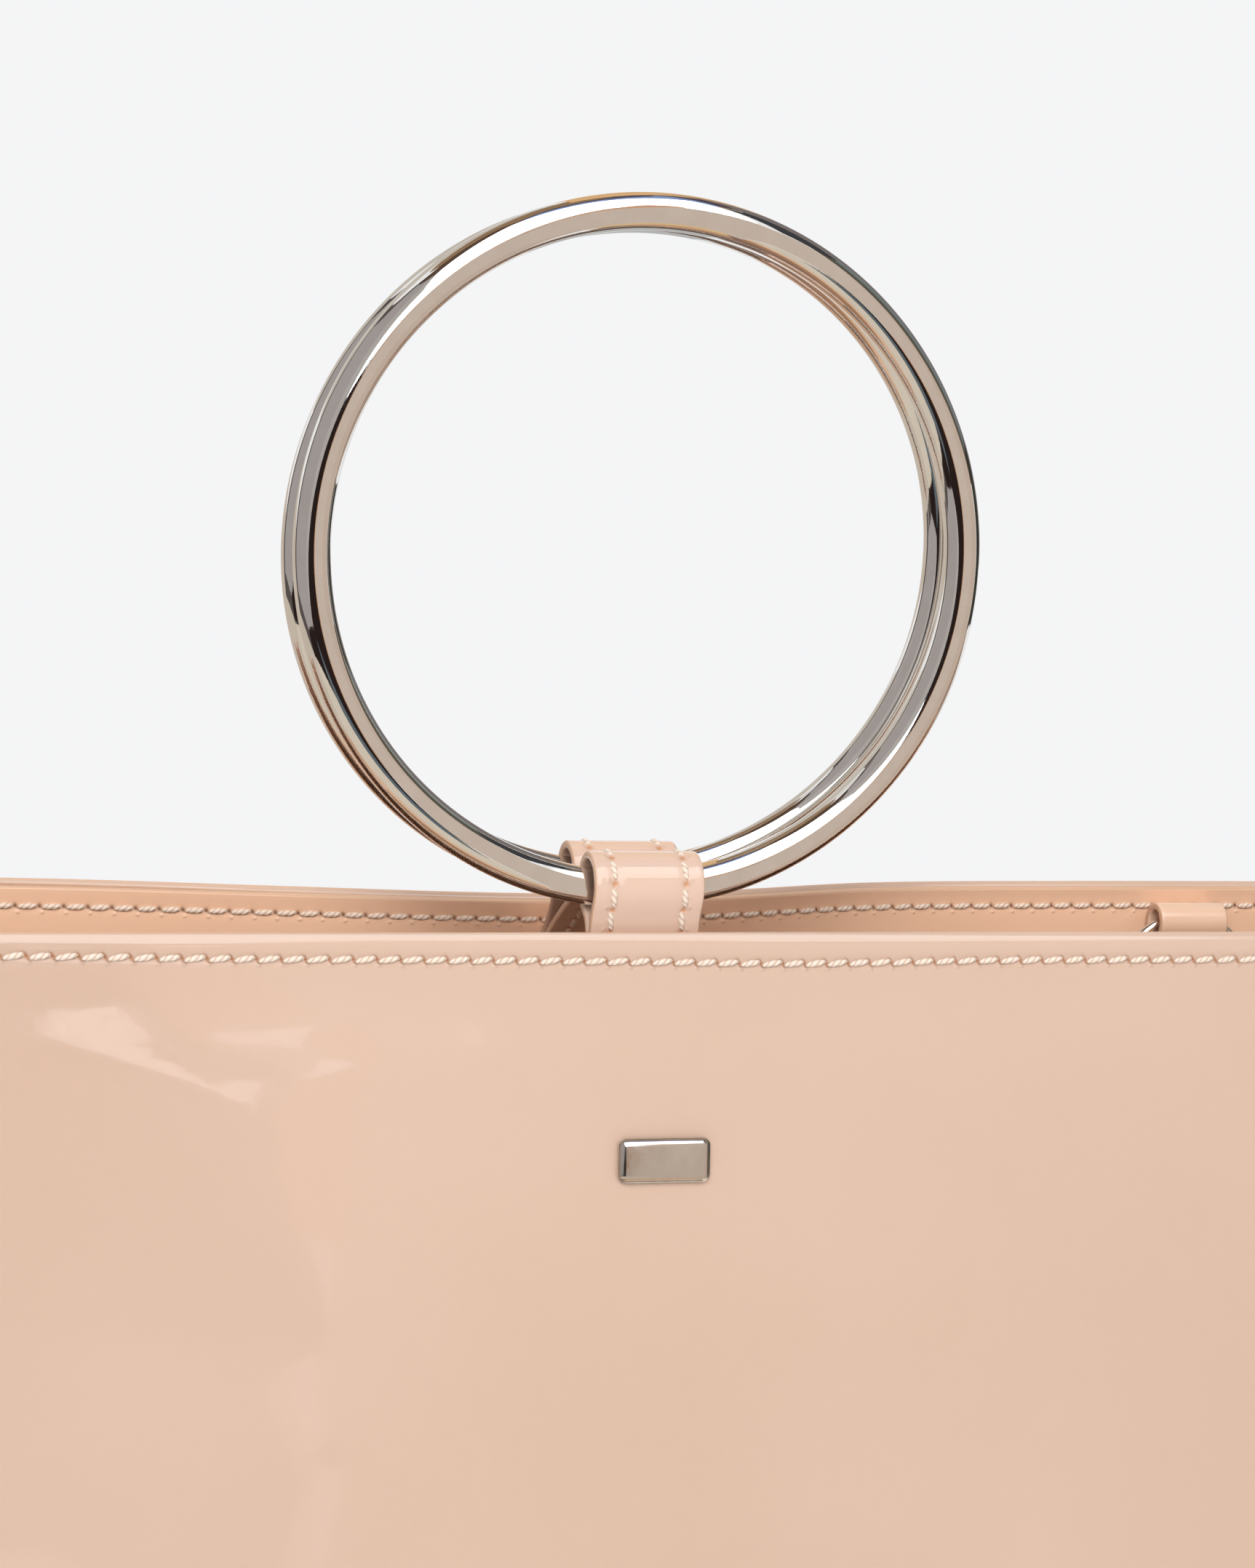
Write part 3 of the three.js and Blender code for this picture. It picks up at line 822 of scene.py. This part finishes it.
def backTabRoute():
    wall, clear = tabPiece["leather"], body["gap"]
    centre = (hinges["back_ring"][1], hinges["back_ring"][2])

    def seat(drop):
        face = clearFacing(1, tabPiece["shift"], tabPiece["width"], 1 - drop / body["height"])
        return face - clear - wall - body["backSag"] / 2, body["height"] - drop

    landing = seat(tabPiece["backSlope"])
    across, up = tabPiece["neckShare"]
    neck = (mix(centre[0], landing[0], across), mix(centre[1], landing[1], up))
    reach = tabPiece["reach"]
    return centre, [neck, landing, seat((reach + tabPiece["backSlope"]) / 2), seat(reach)]


tabStitch = {"inset": 2.8, "pitch": 3.65, "length": 3.42, "thick": 0.92, "proud": -0.04, "slant": 6}
frontTabPath = makeTab("frontRingTab", "front_tab", *frontTabRoute(), tabPiece, tabPiece["shift"], tabStitch)
backTabPath = makeTab("backRingTab", "back_tab", *backTabRoute(), tabPiece, tabPiece["shift"], tabStitch)


def strapTabRoute(hinge):
    wall, reach = strapTabPiece["leather"], strapTabPiece["reach"]

    def seat(drop):
        return hinge[1] + wirePiece["wire"] / 2 + body["gap"] + wall, hinge[2] - drop

    return (hinge[1], hinge[2]), [seat(strapTabPiece["hole"] + wall), seat(reach / 2), seat(reach)]


for side, end in (("left", -1), ("right", 1)):
    hinge = hinges[side + "_strap_ring"]
    middle = end * strapTabPiece["offset"]
    makeTab(side + "StrapTab", side + "_strap_tab", *strapTabRoute(hinge), strapTabPiece, middle)

print("rings")
ringPiece = {"outer": 100, "radial": 5.3, "axial": 4.2, "lean": 2, "steps": 216, "sides": 36}


def makeRing(name, node, lean):
    low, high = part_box(node)
    radius = ringPiece["radial"] / 2
    clearSelection()
    bpy.ops.mesh.primitive_torus_add(
        major_segments=ringPiece["steps"], minor_segments=ringPiece["sides"],
        rotation=(math.pi / 2, 0, 0),
        major_radius=(ringPiece["outer"] / 2 - radius) * mm, minor_radius=radius * mm)
    obj = bpy.context.object
    obj.name = name
    # the bar is a little flatter along the ring's axis
    obj.scale.z = ringPiece["axial"] / ringPiece["radial"]
    settle(obj)
    obj.matrix_world = Matrix.Translation((low + high) / 2) @ Matrix.Rotation(math.radians(lean), 4, "X")
    settle(obj)
    smooth(obj)
    return obj


def makeHandle(name, node, bodyName, lean):
    obj = makeRing(name, node, lean)
    obj.data.materials.append(ringMetal)
    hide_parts(node)
    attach(obj, bodyName)


makeHandle("frontRingHandle", "front_ring", "front_ring", -ringPiece["lean"])
makeHandle("backRingHandle", "back_ring", "back_ring", ringPiece["lean"])


def makeStrapRing(side):
    low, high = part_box(side + "_strap_ring")
    middle = (low + high) / 2
    radius = (wirePiece["outer"] - wirePiece["wire"]) / 2 * mm
    clearSelection()
    bpy.ops.mesh.primitive_torus_add(
        major_segments=wirePiece["steps"], minor_segments=wirePiece["sides"],
        location=middle, rotation=(math.pi / 2, 0, 0),
        major_radius=radius, minor_radius=wirePiece["wire"] / 2 * mm)
    obj = bpy.context.object
    obj.name = side + "StrapRing"
    settle(obj)
    # a closed joint in the wire, at the bottom
    for vertex in obj.data.vertices:
        flat = Vector((vertex.co.x - middle.x, 0, vertex.co.z - middle.z))
        if flat.z < 0 and abs(flat.x) < wirePiece["jointHalf"] * mm:
            core = middle + flat.normalized() * radius
            vertex.co = core + (vertex.co - core) * wirePiece["jointThin"]
    smooth(obj)
    obj.data.materials.append(wireMetal)
    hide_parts(side + "_strap_ring")
    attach(obj, side + "_strap_ring")


makeStrapRing("left")
makeStrapRing("right")

print("plaque")
plaquePiece = {
    "width": 13.4, "height": 6.2, "thick": 1.2, "corner": 1.1, "cornerSteps": 6,
    "edge": 0.3, "shift": 1.2, "drop": 31.7,
}


def makePlaque():
    at = 1 - plaquePiece["drop"] / body["height"]
    step = plaquePiece["height"] / 2 / body["height"]
    top = panelOut(-1, plaquePiece["shift"], at + step)
    foot = panelOut(-1, plaquePiece["shift"], at - step)
    tilt = math.atan2(foot - top, plaquePiece["height"])
    clearSelection()
    bpy.ops.mesh.primitive_cube_add(size=1)
    obj = bpy.context.object
    obj.name = "frontPlaque"
    obj.scale = [plaquePiece[way] * mm for way in ("width", "height", "thick")]
    settle(obj)
    low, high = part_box("badge")

    def roundCorners():
        bpy.ops.mesh.select_all(action="DESELECT")
        bpy.ops.object.mode_set(mode="OBJECT")
        for edge in obj.data.edges:
            a, b = (obj.data.vertices[i].co for i in edge.vertices)
            edge.select = abs(a.z - b.z) > 0.5 * plaquePiece["thick"] * mm
        bpy.ops.object.mode_set(mode="EDIT")
        bpy.ops.mesh.select_mode(type="EDGE")
        bpy.ops.mesh.bevel(offset=plaquePiece["corner"] * mm, segments=plaquePiece["cornerSteps"])

    inEditMode(obj, roundCorners)
    roundEdges(obj, plaquePiece["edge"], angle=40, clamp=True)
    obj.matrix_world = Matrix.Translation((low + high) / 2) @ Matrix.Rotation(math.pi / 2 - tilt, 4, "X")
    settle(obj)
    smooth(obj, 35)
    obj.data.materials.append(plaqueMetal)
    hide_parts("badge")
    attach(obj, "bag")


makePlaque()

print("stitches")
stitchPiece = {
    "length": 3.36, "thick": 0.9, "slant": 10.5, "sides": 8, "rings": 8, "proud": 0.16, "margin": 2,
    "spread": 0.9, "blunt": 2.6, "taper": 0.6, "twist": 0.07, "twistTurn": 5, "point": 0.05,
    "flat": 0.9, "sway": 1.6, "stretch": (0.96, 1.03),
}
innerStitch = {"length": 3.16, "proud": 0.14, "margin": 1, "slantShare": 0.4}


def makeStitch():
    clearSelection()
    bpy.ops.mesh.primitive_uv_sphere_add(
        segments=stitchPiece["sides"], ring_count=stitchPiece["rings"], rotation=(0, math.pi / 2, 0))
    obj = bpy.context.object
    obj.name = "stitch"
    settle(obj)
    obj.data.uv_layers.active.name = "ply"
    for vertex in obj.data.vertices:
        t = min(max(vertex.co.x, -1), 1)
        along = math.copysign(abs(math.asin(t) / (math.pi / 2)) ** stitchPiece["spread"], t)
        angle = math.atan2(vertex.co.z, vertex.co.y)
        thick = (1 - abs(along) ** stitchPiece["blunt"]) ** stitchPiece["taper"]
        thick *= 1 + stitchPiece["twist"] * math.cos(2 * angle + stitchPiece["twistTurn"] * along)
        vertex.co = Vector((along * 0.5, 0.5 * thick * math.cos(angle), 0.5 * thick * math.sin(angle)))
        if thick < stitchPiece["point"]:
            vertex.co.y = vertex.co.z = 0
    smooth(obj)
    obj.data.materials.append(thread)
    return obj


stitch = makeStitch()


def layStitches(name, spots, length, thick, slant):
    # spots are (point, direction, outward, curve of the leather) in millimetres
    made = []
    flat, sway = thick * stitchPiece["flat"], stitchPiece["sway"]
    for point, along, outward, curve in spots:
        twin = copyOf(stitch)
        for vertex in twin.data.vertices:
            vertex.co.z -= curve * (length * vertex.co.x) ** 2 / 2 / flat
        along, outward = Vector(along).normalized(), Vector(outward).normalized()
        across = outward.cross(along)
        angle = math.radians(slant + dice.uniform(-sway, sway))
        heading = along * math.cos(angle) + across * math.sin(angle)
        turned = Matrix((heading, outward.cross(heading), outward)).transposed().to_4x4()
        stretch = dice.uniform(*stitchPiece["stretch"])
        size = Matrix.Diagonal((length * mm * stretch, thick * mm, thick * mm * stitchPiece["flat"], 1))
        twin.matrix_world = Matrix.Translation(Vector(point) * mm) @ turned @ size
        made.append(twin)
    obj = joinAll(made, name)
    settle(obj)
    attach(obj, "bag")


def squareSpot(point, along, facing, proud):
    # the stitch's outward direction stands square on its row
    outward = Vector((0, facing, 0))
    outward = (outward - along * outward.dot(along) / along.length_squared).normalized()
    return point + outward * proud, along, outward, 0


def panelSpot(side, x, height, proud):
    point = Vector((x, side * panelOut(side, x, height), height * topEdge(side, x)))
    bow = side * (panelOut(side, x + 0.5, height) - panelOut(side, x - 0.5, height))
    rise = topEdge(side, x + 0.5) - topEdge(side, x - 0.5)
    return squareSpot(point, Vector((1, bow, rise)), side, proud)


def facingSpot(side, x, proud):
    height = 1 - seamDrop(side, x) / body["height"]
    point = Vector((x, side * facingFace(side, x, height), topEdge(side, x) - seamDrop(side, x)))
    bow = side * facingFace(side, x + 0.5, height) - side * facingFace(side, x - 0.5, height)
    rise = topEdge(side, x + 0.5) - topEdge(side, x - 0.5)
    return squareSpot(point, Vector((1, bow, rise)), -side, proud)


def edgeRows():
    middles = [(a + b) / 2 for a, b in zip(holes, holes[1:])]
    thick, slant = stitchPiece["thick"], stitchPiece["slant"]
    for side, word in ((-1, "front"), (1, "back")):
        outside = [
            panelSpot(side, x, 1 - seamDrop(side, x) / body["height"], stitchPiece["proud"])
            for x in middles if abs(x) < halfWidth - stitchPiece["margin"]]
        layStitches(word + "EdgeStitches", outside, stitchPiece["length"], thick, -side * slant)
        inside = [
            facingSpot(side, x, innerStitch["proud"])
            for x in middles if abs(x) < facingPiece["end"] - innerStitch["margin"]]
        leaning = side * slant * innerStitch["slantShare"]
        layStitches(word + "FacingStitches", inside, innerStitch["length"], thick, leaning)


edgeRows()
sideSeam = {
    "inset": 4.0, "pitch": 3.4, "low": 14, "high": 151, "proud": 0.12, "probe": 0.01,
    "shorter": 0.4, "thickShare": 0.9,
}


def sideRows():
    # the panels are stitched to the gusset flanges down both sides
    count = round((sideSeam["high"] - sideSeam["low"]) / sideSeam["pitch"])
    proud, probe = sideSeam["proud"], sideSeam["probe"]
    for side, word in ((-1, "front"), (1, "back")):
        spots = []
        for end in (-1, 1):
            x = end * (halfWidth - sideSeam["inset"])
            for k in range(count + 1):
                at = mix(sideSeam["low"], sideSeam["high"], k / count) / body["height"]
                point, _, outward, curve = panelSpot(side, x, at, proud)
                step = panelSpot(side, x, at + probe, proud)[0] - panelSpot(side, x, at - probe, proud)[0]
                outward = outward - step * outward.dot(step) / step.length_squared
                spots.append((point, step, outward, curve))
        layStitches(
            word + "SideStitches", spots, sideSeam["pitch"] - sideSeam["shorter"],
            stitchPiece["thick"] * sideSeam["thickShare"], stitchPiece["slant"])


sideRows()


def tabRows(name, path, length, piece, stitching):
    spots = []
    half = piece["width"] / 2 - stitching["inset"]
    proud = piece["leather"] / 2 + stitching["proud"]
    for k in range(1, int(length / stitching["pitch"])):
        i = (k + 0.5) * stitching["pitch"] / length * (len(path) - 1)
        j = int(i)
        if j + 1 >= len(path):
            continue
        a, b = path[j], path[j + 1]
        y, z = mix(a[0], b[0], i - j), mix(a[1], b[1], i - j)
        along = Vector((0, b[0] - a[0], b[1] - a[1]))
        outward = Vector((0, -along.z, along.y)).normalized()
        # how tightly the strip turns here, from points a stitch apart
        before, after = Vector(path[max(j - 2, 0)]), Vector(path[min(j + 3, len(path) - 1)])
        first, second = Vector((y, z)) - before, after - Vector((y, z))
        curve = first.angle_signed(second) / ((first.length + second.length) / 2)
        for end in (-1, 1):
            point = Vector((piece["shift"] + end * half, y, z)) + outward * proud
            spots.append((point, along, outward, curve))
    layStitches(name, spots, stitching["length"], stitching["thick"], stitching["slant"])


tabRows("frontTabStitches", *frontTabPath, tabPiece, tabStitch)
tabRows("backTabStitches", *backTabPath, tabPiece, tabStitch)
bpy.data.objects.remove(stitch)

print("studio")
studio = {
    "floorRadius": 1.3, "floorDrop": 0.0004, "fadeFrom": 0.45, "fadeTo": 0.95,
    "sky": (0.911, 0.913, 0.922), "backdrop": 1.0, "fill": 0.6, "aim": (0, 0, 0.12),
}


def makeFloor():
    clearSelection()
    bpy.ops.mesh.primitive_circle_add(
        vertices=96, radius=studio["floorRadius"], fill_type="NGON", location=(0, 0, -studio["floorDrop"]))
    obj = bpy.context.object
    obj.name = "paleFloor"
    material, tree, shader, place = startMaterial("palePaper")
    tint = addNode(tree, "ShaderNodeTexNoise", {"Vector": place, "Scale": 30.0})
    tone = ramp(tree, tint.outputs["Fac"], (0.3, (0.86, 0.86, 0.865)), (0.7, (0.87, 0.87, 0.875)))
    far = addNode(tree, "ShaderNodeVectorMath", {0: place}, operation="LENGTH")
    fade = addNode(tree, "ShaderNodeMapRange", {
        "Value": far.outputs["Value"], "From Min": studio["fadeFrom"], "From Max": studio["fadeTo"],
        "To Min": 1.0, "To Max": 0.0})
    fade.interpolation_type = "SMOOTHSTEP"
    fillInputs(tree, shader, {"Base Color": tone, "Roughness": 0.7, "Alpha": fade.outputs[0]})
    obj.data.materials.append(material)
    obj.visible_glossy = False


makeFloor()


def makeSky():
    world = bpy.data.worlds.new("paleSky")
    bpy.context.scene.world = world
    world.use_nodes = True
    tree = world.node_tree
    back = tree.nodes["Background"]
    back.inputs["Color"].default_value = (*studio["sky"], 1)
    # the backdrop is brighter than the fill that it gives
    ray = addNode(tree, "ShaderNodeLightPath")
    strength = addNode(tree, "ShaderNodeMapRange", {
        "Value": ray.outputs["Is Diffuse Ray"], "To Min": studio["backdrop"], "To Max": studio["fill"]})
    tree.links.new(strength.outputs[0], back.inputs["Strength"])


makeSky()


def glow(name, colour):
    material = bpy.data.materials.new(name)
    material.use_nodes = True
    tree = material.node_tree
    tree.nodes.clear()
    out = tree.nodes.new("ShaderNodeOutputMaterial")
    lamp = tree.nodes.new("ShaderNodeEmission")
    lamp.inputs["Color"].default_value = (*colour, 1)
    tree.links.new(lamp.outputs[0], out.inputs[0])
    return material


def glowCard(name, far, colour, *corners, hideOnly=False):
    return {"name": name, "far": far, "colour": colour, "corners": corners, "hideOnly": hideOnly}


# cards round the set, seen only in reflections, each with its distance from the rings in metres;
# corners are azimuth from the front towards +X and elevation, in degrees: low left, low right,
# high right, high left
dark, brown, grey = (0.022, 0.014, 0.013), (0.105, 0.065, 0.045), (0.385, 0.35, 0.34)
beige, cream, tan = (0.60, 0.50, 0.425), (0.68, 0.60, 0.50), (0.55, 0.35, 0.23)
gloss, sheen, softWhite = (2.1, 2.1, 2.15), (1.2, 1.15, 1.1), (2.6, 2.65, 2.7)
cards = [
    glowCard("glossFirst", 2.1, gloss, (4.2, -2.5), (5.6, -1.9), (5.7, -0.3), (4.2, -0.3), hideOnly=True),
    glowCard("glossSecond", 2.1, gloss, (6.8, 1.0), (7.2, 1.2), (8.7, 4.4), (7.6, 5.0), hideOnly=True),
    glowCard("glossThird", 2.1, sheen, (12.4, 8.5), (13.1, 8.6), (13.2, 9.7), (12.6, 9.5), hideOnly=True),
    glowCard("darkWedge", 2.15, dark, (-28, -12), (6, -15), (7, 6), (-10, 12)),
    glowCard("tealUnder", 2.15, (0.12, 0.15, 0.17), (-22, -20), (5, -25), (6, -15), (-28, -12)),
    glowCard("orangeEdge", 2.12, (0.50, 0.27, 0.15), (6, -8), (8.5, -8), (10, 10), (7, 8)),
    glowCard("orangeArc", 2.12, (0.62, 0.36, 0.22), (8, 8), (11, 10), (23, 33), (17, 31)),
    glowCard("softboxFoot", 2.2, softWhite, (-8, 11), (8, 8), (13, 24), (-11, 28)),
    glowCard("softboxMiddle", 2.2, softWhite, (-11, 28), (13, 24), (36, 38), (-29, 47)),
    glowCard("softboxTop", 2.2, softWhite, (-29, 47), (38, 40), (60, 66), (-28, 68)),
    glowCard("blueFade", 2.25, (0.24, 0.33, 0.58), (-26, 68), (60, 60), (108, 75), (-26, 77)),
    glowCard("beigeLeft", 2.3, beige, (7, -60), (20, -60), (20, 31), (8, 11)),
    glowCard("beigeMiddle", 2.3, beige, (20, -60), (50, -60), (50, 40), (20, 31)),
    glowCard("beigeRight", 2.3, (0.57, 0.455, 0.375), (50, -60), (86, -48), (82, 8), (50, 40)),
    glowCard("greyLeft", 2.5, grey, (-96, -12), (-60, -17), (-60, 54), (-114, 42)),
    glowCard("greyMiddle", 2.5, grey, (-60, -17), (-30, -11), (-28, 46), (-60, 54)),
    glowCard("greyRight", 2.5, (0.45, 0.42, 0.40), (-30, -11), (-10, 6), (-9, 28), (-28, 46)),
    glowCard("rimLeft", 2.7, (0.10, 0.085, 0.08), (-108, -16), (-60, -22), (-60, 58), (-124, 46)),
    glowCard("rimRight", 2.7, dark, (-60, -22), (8, -16), (4, 12), (-60, 58)),
    glowCard("rimTop", 2.7, brown, (-62, 52), (-20, 38), (-28, 74), (-66, 76)),
    glowCard("darkStrip", 2.4, (0.05, 0.05, 0.055), (44, 40), (92, 42), (92, 60), (60, 60)),
    glowCard("oliveSlope", 2.35, (0.11, 0.095, 0.07), (80, 8), (98, 8), (78, 44), (52, 40)),
    glowCard("tealSlope", 2.4, (0.17, 0.22, 0.23), (98, 8), (114, 8), (102, 44), (78, 44)),
    glowCard("darkSpot", 2.32, (0.04, 0.04, 0.033), (84, -10), (124, -9), (116, 12), (86, 12)),
    glowCard("greyRoom", 2.6, (0.20, 0.175, 0.17), (98, -5), (148, -2), (150, 60), (86, 62)),
    glowCard("orangeTop", 2.6, (0.75, 0.47, 0.24), (152, 22), (172, 22), (180, 82), (120, 80)),
    glowCard("paleBack", 2.8, (0.60, 0.55, 0.49), (-180, 12), (-118, 20), (-118, 62), (-180, 62)),
    glowCard("darkTop", 2.8, (0.09, 0.07, 0.085), (-40, 72), (130, 58), (130, 82), (-40, 84)),
    glowCard("brownTop", 3.0, (0.30, 0.19, 0.11), (-180, 60), (180, 60), (180, 90), (-180, 90)),
    glowCard("creamLow", 2.8, cream, (-58, -42), (7, -46), (7, -12), (-58, -12)),
    glowCard("peachLow", 2.75, (0.72, 0.48, 0.32), (-58, -51), (7, -55), (7, -46), (-58, -42)),
    glowCard("tanLow", 2.7, (0.38, 0.21, 0.125), (-90, -68), (7, -68), (7, -55), (-62, -51)),
    glowCard("paleLeft", 2.8, (0.60, 0.52, 0.44), (-178, -38), (-58, -40), (-58, -10), (-178, 12)),
    glowCard("tanLeft", 2.78, tan, (-180, -62), (-62, -60), (-58, -40), (-180, -38)),
    glowCard("yellowLow", 2.28, (0.70, 0.50, 0.28), (13, -66), (66, -64), (62, -56), (13, -54)),
    glowCard("orangeLow", 2.28, (0.60, 0.34, 0.19), (15, -76), (70, -74), (66, -64), (13, -66)),
    glowCard("tanRight", 2.5, (0.37, 0.25, 0.185), (82, -60), (122, -52), (136, -24), (82, -8)),
    glowCard("greyBelow", 2.6, (0.50, 0.51, 0.51), (80, -78), (164, -72), (166, -10), (122, -52)),
    glowCard("paleBelow", 2.55, (0.75, 0.74, 0.72), (112, -24), (160, -26), (156, 6), (144, -2)),
    glowCard("brownLow", 2.9, (0.25, 0.15, 0.115), (-180, -90), (180, -90), (180, -60), (-180, -60)),
]


# small patches of gloss fall on the front hide alone
frontOnly = bpy.data.collections.new("frontOnly")
frontOnly.objects.link(bpy.data.objects["frontPanelHide"])


def makeCard(card):
    low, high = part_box("front_ring")
    centre = (low + high) / 2
    lowLeft, lowRight, highRight, highLeft = card["corners"]

    def angle(i, u, v):
        return math.radians(mix(mix(lowLeft[i], lowRight[i], u), mix(highLeft[i], highRight[i], u), v))

    def place(u, v):
        az, el = angle(0, u, v), angle(1, u, v)
        far = card["far"] / mm
        return (far * math.sin(az) * math.cos(el), -far * math.cos(az) * math.cos(el), far * math.sin(el))

    obj = sheetFrom(card["name"], 24, 12, place)
    obj.data.transform(Matrix.Translation(centre))
    obj.data.materials.append(glow(card["name"], card["colour"]))
    for ray in ("camera", "diffuse", "shadow", "transmission", "volume_scatter"):
        setattr(obj, "visible_" + ray, False)
    if card["hideOnly"]:
        obj.light_linking.receiver_collection = frontOnly


for card in cards:
    makeCard(card)

lamps = [
    {"name": "keyLight", "place": (-0.42, -1.25, 0.95), "size": 0.8, "power": 18, "colour": (1, 0.985, 0.97)},
    {"name": "topLight", "place": (0.4, 0.5, 1.9), "size": 1.2, "power": 10, "colour": (1, 1, 1)},
    {"name": "rearLight", "place": (0.8, 1.5, 0.9), "size": 1.0, "power": 12, "colour": (1, 0.99, 0.98)},
]


def makeLamp(lamp):
    data = bpy.data.lights.new(lamp["name"], "AREA")
    data.size = lamp["size"]
    data.energy = lamp["power"]
    data.color = lamp["colour"]
    obj = bpy.data.objects.new(lamp["name"], data)
    bpy.context.scene.collection.objects.link(obj)
    obj.location = lamp["place"]
    obj.rotation_mode = "QUATERNION"
    obj.rotation_quaternion = (Vector(studio["aim"]) - Vector(lamp["place"])).to_track_quat("-Z", "Y")
    obj.visible_camera = False
    obj.visible_glossy = False


for lamp in lamps:
    makeLamp(lamp)

bpy.context.scene.view_settings.view_transform = "Standard"
bpy.context.scene.view_settings.look = "None"
